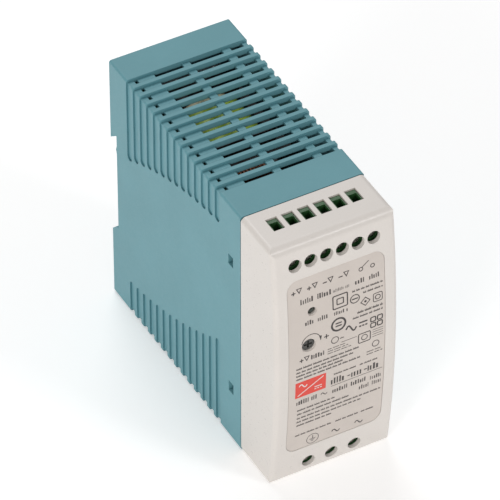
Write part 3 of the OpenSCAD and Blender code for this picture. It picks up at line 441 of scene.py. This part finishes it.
NODE_MATERIAL = {
    "rear_housing": "housing", "front_cover": "cover", "front_label": "label", "rail_latch": "latch",
    "output_terminal_housing": "terminal_green", "input_terminal_housing": "terminal_green",
    "output_contacts": "contact", "input_contacts": "contact", "main_board": "board_side",
    "terminal_board": "board_front", "indicator_board": "board_front", "board_headers": "black_plastic",
    "insulation_sheet": "sheet", "transformer_core": "ferrite", "transformer_bobbin": "black_plastic",
    "input_choke_core": "ferrite", "output_choke_core": "ferrite", "primary_heatsink": "heatsink",
    "secondary_heatsink": "heatsink", "power_transistor": "black_plastic", "output_diode": "black_plastic",
    "device_screws": "clamp_steel", "thermistor": "green_disc", "varistor": "blue_disc",
    "y_capacitors": "blue_disc", "bridge_rectifier": "black_plastic", "optocouplers": "black_plastic",
    "controller_chip": "black_plastic", "status_lamp": "lamp_lens", "trimmer_body": "trimmer_blue",
    "trimmer_rotor": "rotor", "x_capacitor": "film_cap", "relay": "grey_lid", "fuse": "ceramic",
    "latch_spring": "spring", "transformer_winding": "tape", "bulk_capacitor": "black_plastic",
    "output_capacitors": "black_plastic", "input_choke_windings": "copper", "output_choke_winding": "copper",
}


def node_material(name):
    if name in NODE_MATERIAL:
        return M[NODE_MATERIAL[name]]
    return M["clamp_steel"]  # the clamps' screws and cages


def dress_nodes():
    for name, node in NODES.items():
        node.data.materials.clear()
        node.data.materials.append(node_material(name))


# ---------------------------------------------------------------- mesh helpers

def piece(name, bm, material, body="enclosure", stands_for=(), smooth=35):
    """An object made from bm, with a material, that rides on a body."""
    bmesh.ops.remove_doubles(bm, verts=bm.verts, dist=1e-7)
    bmesh.ops.recalc_face_normals(bm, faces=bm.faces)
    mesh = bpy.data.meshes.new(name)
    bm.to_mesh(mesh)
    bm.free()
    for face in mesh.polygons:
        face.use_smooth = True
    mesh.set_sharp_from_angle(angle=math.radians(smooth))
    for m in material if isinstance(material, (list, tuple)) else [material]:
        mesh.materials.append(m)
    obj = bpy.data.objects.new(name, mesh)
    bpy.context.scene.collection.objects.link(obj)
    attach(obj, body)
    if stands_for:
        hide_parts(*stands_for)
    return obj


def skin(bm, rings, loop=False, caps=True, material=0):
    """Faces between rings of vertices; caps close the two ends, or loop joins them."""
    n = len(rings[0])
    spans = list(zip(rings, rings[1:])) + ([(rings[-1], rings[0])] if loop else [])
    for a, b in spans:
        for i in range(n):
            j = (i + 1) % n
            bm.faces.new((a[i], a[j], b[j], b[i])).material_index = material
    if caps and not loop:
        bm.faces.new(list(reversed(rings[0]))).material_index = material
        bm.faces.new(rings[-1]).material_index = material


def tube(bm, points, radius, sides=10):
    """A round wire through points, its section carried along without twist."""
    points = [Vector(p) for p in points]
    last = len(points) - 1
    rings, side = [], None
    for i, p in enumerate(points):
        along = (points[min(i + 1, last)] - points[max(i - 1, 0)]).normalized()
        if side is None:
            side = along.orthogonal()
        side = (side - along * side.dot(along)).normalized()
        other = along.cross(side)
        ring = []
        for k in range(sides):
            turn = 2 * math.pi * k / sides
            ring.append(bm.verts.new(p + (side * math.cos(turn) + other * math.sin(turn)) * radius))
        rings.append(ring)
    skin(bm, rings)


def lathe(bm, profile, origin, axis, sides):
    """A surface of revolution, open at both ends: profile is (along, radius) pairs. Gives its rings."""
    axis = Vector(axis).normalized()
    u = axis.orthogonal().normalized()
    v = axis.cross(u)
    origin = Vector(origin)
    rings = []
    for along, radius in profile:
        ring = []
        for k in range(sides):
            turn = 2 * math.pi * k / sides
            outward = u * math.cos(turn) + v * math.sin(turn)
            ring.append(bm.verts.new(origin + axis * along + outward * radius))
        rings.append(ring)
    skin(bm, rings, caps=False)
    return rings


def rounded_box(bm, lo, hi, radius, steps):
    """A box with round edges."""
    lo, hi = Vector(lo), Vector(hi)
    made = bmesh.ops.create_cube(bm, size=1)["verts"]
    for v in made:
        v.co = Vector(((lo[i] + hi[i]) / 2 + v.co[i] * (hi[i] - lo[i]) for i in range(3)))
    edges = list({e for v in made for e in v.link_edges})
    bmesh.ops.bevel(bm, geom=edges, offset=radius, segments=steps, profile=0.5, affect="EDGES")


def round_rect(half_u, half_v, radius, steps=6):
    """Points round a rectangle with round corners, about its middle."""
    points = []
    for cu, cv, start in ((1, 1, 0), (-1, 1, 90), (-1, -1, 180), (1, -1, 270)):
        for k in range(steps + 1):
            a = math.radians(start + 90 * k / steps)
            points.append((cu * (half_u - radius) + radius * math.cos(a),
                           cv * (half_v - radius) + radius * math.sin(a)))
    return points


# ---------------------------------------------------------------- wound parts

def make_latch_spring():
    lo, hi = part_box("latch_spring")
    wire = 0.5 * MM
    radius = (hi.x - lo.x - wire) / 2
    middle = (lo + hi) / 2
    turns, steps = 8, 20
    dead = 0.9  # turns laid flat at each end
    rise = hi.z - lo.z - wire
    points = []
    for i in range(turns * steps + 1):
        t = i / steps
        if t < dead:
            share = 0.05 * t / dead
        elif t > turns - dead:
            share = 1 - 0.05 * (turns - t) / dead
        else:
            share = 0.05 + 0.9 * (t - dead) / (turns - 2 * dead)
        a = 2 * math.pi * t
        points.append((middle.x + radius * math.cos(a), middle.y + radius * math.sin(a),
                       lo.z + wire / 2 + rise * share))
    bm = bmesh.new()
    tube(bm, points, wire / 2, 10)
    spring = piece("latch_spring_coil", bm, M["spring"], stands_for=["latch_spring"])
    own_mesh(spring)


def make_output_choke():
    lo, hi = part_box("output_choke_winding")
    wire = 1.05 * MM
    radius = (hi.z - lo.z - wire) / 2
    middle = (lo + hi) / 2
    turns = int((hi.x - lo.x - wire) / (wire * 1.02))
    steps = 28
    run = hi.x - lo.x - wire
    points = []
    for i in range(turns * steps + 1):
        a = 2 * math.pi * i / steps
        points.append((lo.x + wire / 2 + run * i / (turns * steps), middle.y + radius * math.cos(a),
                       middle.z + radius * math.sin(a)))
    bm = bmesh.new()
    tube(bm, points, wire / 2, 10)
    piece("output_choke_wire", bm, M["copper"], stands_for=["output_choke_winding"])


def make_input_choke():
    """Two halves, each a wire wound round the ring core's section."""
    lo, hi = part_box("input_choke_windings")
    core_lo, core_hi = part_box("input_choke_core")
    middle = (core_lo + core_hi) / 2
    outer = (core_hi.x - core_lo.x) / 2
    inner = 4.6 * MM  # radius of the core's hole
    wire = 0.92 * MM
    half_y = (core_hi.y - core_lo.y) / 2 + wire / 2
    ring_r = (outer + inner) / 2
    half_r = (outer - inner) / 2 + wire / 2
    bend = 1.4 * MM
    section = round_rect(half_r, half_y, bend, 3)
    turns = 10
    span = math.radians(132)
    gap = math.radians(180) - span
    bm = bmesh.new()
    for start in (gap / 2, math.radians(180) + gap / 2):
        points = []
        for i in range(turns * len(section) + 1):
            along = start + span * i / (turns * len(section))
            r, y = section[i % len(section)]
            points.append((middle.x + (ring_r + r) * math.cos(along), middle.y + y,
                           middle.z + (ring_r + r) * math.sin(along)))
        tube(bm, points, wire / 2, 8)
    piece("input_choke_wire", bm, M["copper"], stands_for=["input_choke_windings"])


def make_transformer_winding():
    """Layers of tape round the bobbin, with paler margins at both ends and a folded loose end."""
    lo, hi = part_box("transformer_winding")
    tunnel_lo, tunnel_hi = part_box("transformer_core")
    middle = (lo + hi) / 2
    half_x = (hi.x - lo.x) / 2
    half_z = (hi.z - lo.z) / 2
    length = hi.y - lo.y
    bobbin_wall = 1.15 * MM
    inner = (5.65 * MM, (tunnel_hi.z - tunnel_lo.z) / 2 + bobbin_wall)
    corner = 7.8 * MM
    margin = 2.2 * MM
    inset = 0.35 * MM
    profile = [(0.0, inset + 0.5 * MM), (0.15 * MM, inset), (margin, inset), (margin + 0.02 * MM, 0.02 * MM)]
    bands = 12
    tape = random.Random(5)
    for k in range(1, bands):
        y = margin + (length - 2 * margin) * k / bands
        profile.append((y, 0.10 * MM * tape.random()))
    profile += [(length - margin - 0.02 * MM, 0.02 * MM), (length - margin, inset),
                (length - 0.15 * MM, inset), (length, inset + 0.5 * MM)]
    bm = bmesh.new()
    rings = []
    for y, cut in profile:
        outline = round_rect(half_x - cut, half_z - cut, corner, 8)
        rings.append([bm.verts.new((middle.x + u, lo.y + y, middle.z + v)) for u, v in outline])
    mouth = [[bm.verts.new((middle.x + u, y, middle.z + v)) for u, v in round_rect(*inner, 0.6 * MM, 8)]
             for y in (hi.y, lo.y)]
    skin(bm, rings + mouth, loop=True)
    for face in bm.faces:
        y = face.calc_center_median().y - lo.y
        face.material_index = 0 if margin < y < length - margin else 1
    # the tape's loose end, stuck down across the side that faces up
    flap = 7 * MM
    back = margin + 1.2 * MM
    rounded_box(bm, (middle.x - flap / 2, lo.y + back, hi.z - 0.12 * MM),
                (middle.x + flap / 2, hi.y - back, hi.z - 0.01 * MM), 0.04 * MM, 1)
    piece("transformer_tape_winding", bm, [M["tape"], M["margin"]], stands_for=["transformer_winding"],
          smooth=40)


# ---------------------------------------------------------------- capacitors

def make_can_capacitor(name, base, axis_y, axis_z, radius, length, sleeve_material, stands_for):
    """A canister lying along X, leads towards -X: rubber bung, crimp, sleeve, and a scored can end."""
    edge = 0.35 * MM
    crimp = 1.8 * MM
    dip = 0.55 * MM
    rim = 1.0 * MM
    mouth = radius - 1.2 * MM
    profile = [(0, mouth), (0.0, radius - edge), (0.12 * MM, radius - 0.1 * MM), (edge, radius),
               (crimp - 0.9 * MM, radius)]
    for k in range(9):
        a = math.pi * k / 8
        profile.append((crimp - 0.6 * MM * math.cos(a), radius - dip * math.sin(a)))
    profile += [(crimp + 0.9 * MM, radius), (length - edge, radius), (length - 0.1 * MM, radius - 0.12 * MM),
                (length, radius - edge), (length, radius - rim),
                (length - 0.15 * MM, radius - rim - 0.05 * MM), (length - 0.15 * MM, radius - rim - 0.6 * MM)]
    origin = (base, axis_y, axis_z)
    bm = bmesh.new()
    rings = lathe(bm, profile, origin, (1, 0, 0), 72)
    # the bung, sunk a little, and the bare can end with three scored lines
    bung = [rings[0]]
    sunk = Vector((base + 0.4 * MM, axis_y, axis_z))
    for r in (radius - 1.35 * MM, radius * 0.3):
        bung.append([bm.verts.new(sunk + (v.co - Vector(origin)) * (r / mouth)) for v in rings[0]])
    skin(bm, bung, caps=False, material=1)
    bm.faces.new(bung[-1]).material_index = 1
    end = [rings[-1]]
    for share in (0.92, 0.7, 0.45, 0.2, 0.06):
        ring = []
        for i, v in enumerate(rings[-1]):
            scored = i % 24 == 0 and share < 0.9
            down = 0.18 * MM if scored else 0.0
            flat = Vector((0, v.co.y - axis_y, v.co.z - axis_z)) * share
            ring.append(bm.verts.new(Vector((base + length - 0.1 * MM - down, axis_y, axis_z)) + flat))
        end.append(ring)
    skin(bm, end, caps=False, material=2)
    bm.faces.new(end[-1]).material_index = 2
    piece(name, bm, [sleeve_material, M["bung"], M["can"]], stands_for=stands_for, smooth=30)


def make_capacitors():
    lo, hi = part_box("bulk_capacitor")
    y, z = (lo.y + hi.y) / 2, (lo.z + hi.z) / 2
    navy = sleeve("bulk_sleeve", (0.016, 0.022, 0.055), (y, z), (0.50, 0.52, 0.55))
    make_can_capacitor("bulk_capacitor_can", lo.x, y, z, (hi.y - lo.y) / 2, hi.x - lo.x, navy,
                       ["bulk_capacitor"])
    lo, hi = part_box("output_capacitors")
    y = (lo.y + hi.y) / 2
    radius = (hi.y - lo.y) / 2
    for i, z in enumerate((hi.z - radius, lo.z + radius)):
        black = sleeve(f"output_sleeve_{i + 1}", (0.012, 0.012, 0.014), (y, z), (0.55, 0.50, 0.28))
        make_can_capacitor(f"output_capacitor_can_{i + 1}", lo.x, y, z, radius, hi.x - lo.x, black,
                           ["output_capacitors"])


# ---------------------------------------------------------------- clamp screws

def make_clamp_screw(node):
    """A cheese-head screw: chamfered slotted head, and a shank with a cut thread. It points along +Y,
    and its body has its node's name."""
    lo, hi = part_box(node)
    middle = (lo + hi) / 2
    head_r = (hi.x - lo.x) / 2
    head_t = 1.0 * MM
    core_r = 1.02 * MM
    crest_r = 1.24 * MM
    lead = 0.5 * MM
    half_slot, slot_deep = 0.35 * MM, 0.55 * MM
    sides = 40
    outer = [(math.cos(2 * math.pi * k / sides), math.sin(2 * math.pi * k / sides)) for k in range(sides)]
    bm = bmesh.new()

    def outline(points, y):
        return [bm.verts.new((middle.x + u, lo.y + y, middle.z + v)) for u, v in points]

    # head: a disc, with a half moon standing on it on each side of the slot
    disc = [(head_r * c, head_r * s) for c, s in outer]
    skin(bm, [outline(disc, head_t), outline(disc, slot_deep)])
    bevel = 0.12 * MM
    steps = 20
    for sign in (1, -1):
        moons = []
        for r, gap, y in ((head_r, half_slot, slot_deep + 0.01 * MM), (head_r, half_slot, bevel),
                          (head_r - bevel, half_slot + 0.05 * MM, 0)):
            a0 = math.asin(gap / r)
            arc = [a0 + (math.pi - 2 * a0) * k / steps for k in range(steps + 1)]
            moons.append(outline([(r * math.cos(a), sign * r * math.sin(a)) for a in arc], y))
        skin(bm, moons)
    # threaded shank: radius follows a helix, so each ring is the same shape turned a little
    rows_per_turn = 16
    start, end = head_t, hi.y - lo.y
    rows = int((end - start) / lead * rows_per_turn)
    rings = []
    for k in range(rows + 1):
        y = start + (end - start) * k / rows
        fade = min(1.0, (end - y) / (0.4 * MM), (y - start) / (0.3 * MM))
        row = []
        for i, (c, s) in enumerate(outer):
            phase = ((y - start) / lead - i / sides) % 1.0
            crest = 1 - abs(2 * phase - 1)
            r = core_r + (crest_r - core_r) * crest * max(0.0, fade)
            row.append(bm.verts.new((middle.x + r * c, lo.y + y, middle.z + r * s)))
        rings.append(row)
    skin(bm, rings)
    piece(f"{node}_threaded", bm, M["clamp_steel"], node, [node], smooth=28)


def make_clamp_screws():
    for name in NODES:
        if "_screw_" in name:
            make_clamp_screw(name)


# ---------------------------------------------------------------- print on the label

BOW = 310 * MM  # radius of the cover's front face, seen from the side
LABEL_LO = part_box("front_label")[0]
COVER_LO, COVER_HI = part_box("front_cover")
FILM_RADIUS = BOW - (LABEL_LO.y - COVER_LO.y)
BOW_AXIS = (COVER_LO.y + BOW, (COVER_LO.z + COVER_HI.z) / 2)  # in Y and Z
STROKE = 0.24  # of the label's thin lines, in millimetres
SUNK = -0.03  # where a mark's underside lies, in millimetres from the film's face


class Print:
    """Flat marks on the bowed label, each a thin closed prism. Sizes and places are in millimetres:
    x across from the middle of the face, z up from the base."""

    def __init__(self, lift=0.03, fine=None):
        self.bm = bmesh.new()
        self.lift = lift
        self.fine = fine  # the marks that small lines are printed with

    def at(self, x, z, lift):
        z = z * MM
        r = FILM_RADIUS + lift * MM
        return self.bm.verts.new((x * MM, BOW_AXIS[0] - math.sqrt(r * r - (z - BOW_AXIS[1]) ** 2), z))

    def ribbon(self, left, right, closed=False):
        """The band between two rows of points."""
        top = [[self.at(*p, self.lift) for p in row] for row in (left, right)]
        low = [[self.at(*p, SUNK) for p in row] for row in (left, right)]
        n = len(left)
        for i in range(n if closed else n - 1):
            j = (i + 1) % n
            self.bm.faces.new((top[0][i], top[0][j], top[1][j], top[1][i]))
            self.bm.faces.new((low[0][i], low[0][j], low[1][j], low[1][i]))
            self.bm.faces.new((top[0][i], top[0][j], low[0][j], low[0][i]))
            self.bm.faces.new((top[1][i], top[1][j], low[1][j], low[1][i]))
        if not closed:
            for k in (0, n - 1):
                self.bm.faces.new((top[0][k], top[1][k], low[1][k], low[0][k]))

    def bar(self, x0, z0, x1, z1):
        """An upright or level rectangle, cut into short steps so that it follows the bow."""
        steps = max(1, round(abs(z1 - z0) / 2))
        rows = [z0 + (z1 - z0) * k / steps for k in range(steps + 1)]
        self.ribbon([(x0, z) for z in rows], [(x1, z) for z in rows])

    def line(self, points, width=STROKE, closed=False):
        """A stroke of even width through points, mitred at the bends."""
        points = [Vector((p[0], p[1])) for p in points]
        n = len(points)
        left, right = [], []
        for i, p in enumerate(points):
            a = points[(i - 1) % n] if closed or i > 0 else p
            b = points[(i + 1) % n] if closed or i < n - 1 else p
            before = (p - a).normalized() if (p - a).length > 1e-9 else (b - p).normalized()
            after = (b - p).normalized() if (b - p).length > 1e-9 else before
            along = (before + after).normalized()
            side = Vector((-along.y, along.x))
            reach = width / 2 / max(0.35, side.dot(Vector((-before.y, before.x))))
            left.append(tuple(p + side * reach))
            right.append(tuple(p - side * reach))
        self.ribbon(left, right, closed)

    def arc(self, x, z, r, a0, a1, width=STROKE, steps=20):
        turn = [math.radians(a0 + (a1 - a0) * k / steps) for k in range(steps + 1)]
        self.line([(x + r * math.cos(a), z + r * math.sin(a)) for a in turn], width)

    def ring(self, x, z, r, width=STROKE, steps=28):
        turn = [2 * math.pi * k / steps for k in range(steps)]
        self.line([(x + r * math.cos(a), z + r * math.sin(a)) for a in turn], width, True)

    def dot(self, x, z, r):
        self.ring(x, z, r * 0.51, r * 0.98, 16)

    def plus(self, x, z, size, width=0.34):
        self.minus(x, z, size, width)
        self.bar(x - width / 2, z + width / 2, x + width / 2, z + size / 2)
        self.bar(x - width / 2, z - size / 2, x + width / 2, z - width / 2)

    def minus(self, x, z, size, width=0.34):
        self.bar(x - size / 2, z - width / 2, x + size / 2, z + width / 2)

    def funnel(self, x, z, size):
        """A small triangle that points down."""
        self.line([(x - size / 2, z + size / 2), (x + size / 2, z + size / 2), (x, z - size / 2)], 0.26, True)

    def wave(self, x, z, width, height, stroke=STROKE):
        self.line([(x + width * (k / 16 - 0.5), z + height / 2 * math.sin(2 * math.pi * k / 16))
                   for k in range(17)], stroke)

    def frame(self, x0, z0, x1, z1, radius=0.6, width=STROKE):
        half_u, half_v = (x1 - x0) / 2, (z1 - z0) / 2
        outline = round_rect(half_u, half_v, radius, 4)
        self.line([((x0 + x1) / 2 + u, (z0 + z1) / 2 + v) for u, v in outline], width, True)

    def ticks(self, x0, x1, z, height, seed, bold=0.22, gap=0.36):
        """A caption of plain upright strokes of mixed height and weight: no letters."""
        draw = random.Random(seed)
        x = x0
        word = 0
        while x < x1 - bold:
            tall = height * draw.choice((1.0, 1.0, 0.72, 0.72, 0.86))
            thick = bold * draw.choice((0.8, 1.0, 1.3))
            self.bar(x, z - height / 2, min(x + thick, x1), z - height / 2 + tall)
            x += thick + gap * draw.uniform(0.75, 1.15)
            word += 1
            if word > draw.randint(5, 9):
                x += gap * 1.8
                word = 0

    def small(self, x0, x1, z, height, seed):
        """A line of small print: word-long bars with a few taller strokes."""
        draw = random.Random(seed)
        x = x0
        low = z - height / 2
        while x < x1 - 0.4:
            end = min(x + draw.uniform(0.9, 2.9), x1)
            self.fine.bar(x, low, end, low + 0.62 * height)
            stroke = x + draw.uniform(0.0, 0.5)
            while stroke < end - 0.14:
                self.fine.bar(stroke, low + 0.62 * height, stroke + 0.14, low + height)
                stroke += draw.uniform(0.45, 1.1)
            x = end + 0.36


def print_terminal_marks(p):
    lo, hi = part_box("output_screw_1")
    pitch = (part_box("output_screw_2")[0].x - lo.x) / MM
    first = (lo.x + hi.x) / 2 / MM
    row = 73.8
    for i in range(4):
        x = first + i * pitch
        (p.plus if i < 2 else p.minus)(x - 1.0, row - 0.1, 1.35)
        p.funnel(x + 0.85, row + 0.25, 1.55)
    # open contact between the last two clamps
    p.ring(8.1, row - 0.1, 0.62)
    p.ring(11.9, row - 0.2, 0.62)
    p.line([(8.45, row + 0.4), (10.7, row + 2.0)])
    p.ticks(6.1, 9.5, 69.8, 1.65, 11, 0.36, 0.38)
    p.ticks(10.7, 13.9, 69.8, 1.65, 12, 0.36, 0.38)
    # mains: earth, and two alternating-current marks
    p.ring(-6.9, 14.6, 1.95, 0.16)
    p.bar(-7.0, 14.7, -6.8, 15.9)
    for k, half in enumerate((1.0, 0.66, 0.32)):
        p.bar(-6.9 - half, 14.5 - 0.5 * k, -6.9 + half, 14.68 - 0.5 * k)
    for name in ("input_screw_2", "input_screw_3"):
        lo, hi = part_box(name)
        p.wave((lo.x + hi.x) / 2 / MM + 0.8, 14.3, 2.6, 1.3, 0.34)


def print_controls(p):
    p.ticks(-11.6, -6.9, 69.8, 1.8, 21, 0.38, 0.40)
    p.ticks(-6.1, -1.7, 69.8, 1.8, 22, 0.38, 0.40)
    p.ticks(-1.0, 4.2, 69.6, 1.1, 23, 0.14, 0.3)
    p.ticks(-10.3, -7.0, 61.6, 1.6, 24, 0.36, 0.38)
    p.ticks(-6.2, -3.1, 61.6, 1.6, 25, 0.36, 0.38)
    trim_lo, trim_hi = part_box("trimmer_rotor")
    x, z = (trim_lo.x + trim_hi.x) / 2 / MM, (trim_lo.z + trim_hi.z) / 2 / MM
    p.arc(x + 0.75, z + 0.75, 3.05, 172, 22, 0.22)
    tip_x, tip_z = x + 3.85, z + 0.2
    p.ribbon([(tip_x - 0.55, tip_z + 2.0), (tip_x, tip_z)], [(tip_x + 0.35, tip_z + 1.7), (tip_x, tip_z)])
    p.plus(-3.5, 54.1, 1.6)
    p.plus(-11.6, 48.3, 1.3)
    p.funnel(-9.9, 48.5, 1.5)
    p.ticks(-8.5, -3.8, 48.3, 1.6, 26, 0.36, 0.38)


def print_generic_marks(p):
    """Plain shapes that fill the places of approval marks, without being any."""
    p.frame(-1.2, 62.9, 3.5, 67.5, 0.36, 0.38)
    p.frame(0.1, 64.2, 2.2, 66.2, 0.2, 0.34)
    p.small(5.1, 15.0, 66.9, 0.72, 31)
    p.small(8.6, 15.0, 65.2, 0.72, 32)
    p.ring(5.9, 64.0, 1.45, 0.3)
    p.bar(4.9, 63.8, 6.9, 64.2)
    p.line([(9.3, 63.2), (10.8, 61.7), (9.3, 60.2), (7.8, 61.7)], 0.26, True)
    p.dot(9.3, 61.7, 0.4)
    p.frame(11.9, 60.2, 14.8, 63.2, 0.5)
    p.ring(13.35, 61.7, 0.8, 0.26)
    p.small(6.6, 14.9, 58.6, 0.9, 33)
    p.small(5.1, 14.9, 57.0, 0.72, 34)
    p.ticks(-0.9, 3.6, 61.3, 1.3, 35, 0.26, 0.3)
    p.ring(0.5, 56.9, 2.2, 0.6)
    p.minus(0.5, 57.4, 2.0, 0.45)
    p.minus(0.5, 56.4, 2.0, 0.45)
    p.wave(4.6, 53.7, 3.4, 2.2, 0.5)
    p.bar(7.2, 54.2, 9.9, 54.7)
    for k in range(3):
        p.bar(7.2 + k, 52.9, 7.9 + k, 53.4)
    for i in range(2):
        for j in range(2):
            p.frame(11.0 + 2.2 * i, 51.0 + 2.2 * j, 12.6 + 2.2 * i, 52.6 + 2.2 * j, 0.36, 0.38)
    p.ring(-0.7, 51.5, 1.15, 0.24)
    p.small(0.9, 2.2, 51.5, 0.5, 36)
    p.frame(7.0, 46.7, 10.9, 50.1, 0.5, 0.3)
    p.ring(8.95, 48.4, 0.95, 0.24)
    for k in range(4):
        p.bar(11.6, 47.3 + 0.85 * k, 15.1, 47.45 + 0.85 * k)
    p.bar(1.4, 49.7, 6.4, 49.85)
    p.ring(12.7, 44.4, 1.1, 0.24)
    p.small(9.8, 15.0, 42.2, 0.4, 37)
    p.small(9.8, 15.0, 41.2, 0.4, 38)
    for k in range(3):
        p.small(-3.1, 2.6 + k, 48.9 - 0.85 * k, 0.34, 39 + k)


def print_small_lines(p):
    for k, (end, z) in enumerate(((7.4, 45.5), (5.3, 44.1), (2.6, 42.8), (7.6, 41.5))):
        p.small(-13.3, end, z, 0.72, 50 + k)
    p.small(-0.9, 6.3, 38.3, 0.62, 54)
    p.small(7.6, 13.4, 38.3, 0.62, 55)
    for k, (x0, x1) in enumerate(((-1.8, 3.3), (4.9, 8.9), (10.3, 14.4))):
        p.ticks(x0, x1, 35.7, 2.35, 60 + k, 0.5, 0.46)
    p.minus(4.1, 35.6, 0.9, 0.36)
    p.minus(9.6, 35.6, 0.9, 0.36)
    p.bar(-1.8, 33.75, 15.2, 33.88)
    p.ticks(-13.0, -6.4, 32.0, 1.7, 64, 0.36, 0.36)
    p.wave(-4.0, 32.0, 2.0, 0.9, 0.26)
    p.ticks(-1.2, 4.0, 31.7, 1.65, 65, 0.36, 0.38)
    p.ticks(4.9, 9.8, 31.7, 1.65, 66, 0.36, 0.38)
    p.ticks(11.3, 15.0, 31.2, 1.5, 67, 0.26, 0.38)
    p.ticks(7.7, 11.2, 28.9, 1.6, 68, 0.28, 0.38)
    p.ticks(12.0, 15.1, 28.9, 1.6, 69, 0.28, 0.38)
    for k, (x0, x1, z) in enumerate(((-12.7, 0.2, 28.9), (-12.7, 4.3, 27.3), (-12.7, 14.9, 25.6),
                                     (-12.7, 8.7, 24.1), (-12.7, -1.2, 22.6))):
        p.small(x0, x1, z, 0.68, 70 + k)
    for k, (x0, x1) in enumerate(((-12.9, -0.7), (0.4, 7.9), (8.9, 13.5))):
        p.small(x0, x1, 18.4, 0.66, 80 + k)


def make_label_print():
    fine = Print()
    dark = Print(fine=fine)
    print_terminal_marks(dark)
    print_controls(dark)
    print_generic_marks(dark)
    print_small_lines(dark)
    piece("label_print", dark.bm, M["ink"])
    piece("label_small_print", fine.bm, M["grey_ink"])
    red = Print(0.025)
    red.bar(-13.5, 34.1, -3.5, 40.1)
    piece("label_red_panel", red.bm, M["red_ink"])
    # converter symbol on the red panel: alternating current in, direct current out
    pale = Print(0.045)
    pale.line([(-12.7, 34.8), (-4.3, 39.4)], 0.32)
    pale.wave(-11.0, 38.4, 2.6, 1.3, 0.36)
    pale.minus(-6.0, 36.2, 2.4, 0.32)
    for k in range(3):
        pale.bar(-7.2 + 0.9 * k, 35.2, -6.6 + 0.9 * k, 35.52)
    piece("label_panel_symbol", pale.bm, M["pale_ink"])


# ---------------------------------------------------------------- all together

make_camera()
make_studio()
dress_nodes()
make_latch_spring()
make_output_choke()
make_input_choke()
make_transformer_winding()
make_capacitors()
make_clamp_screws()
make_label_print()
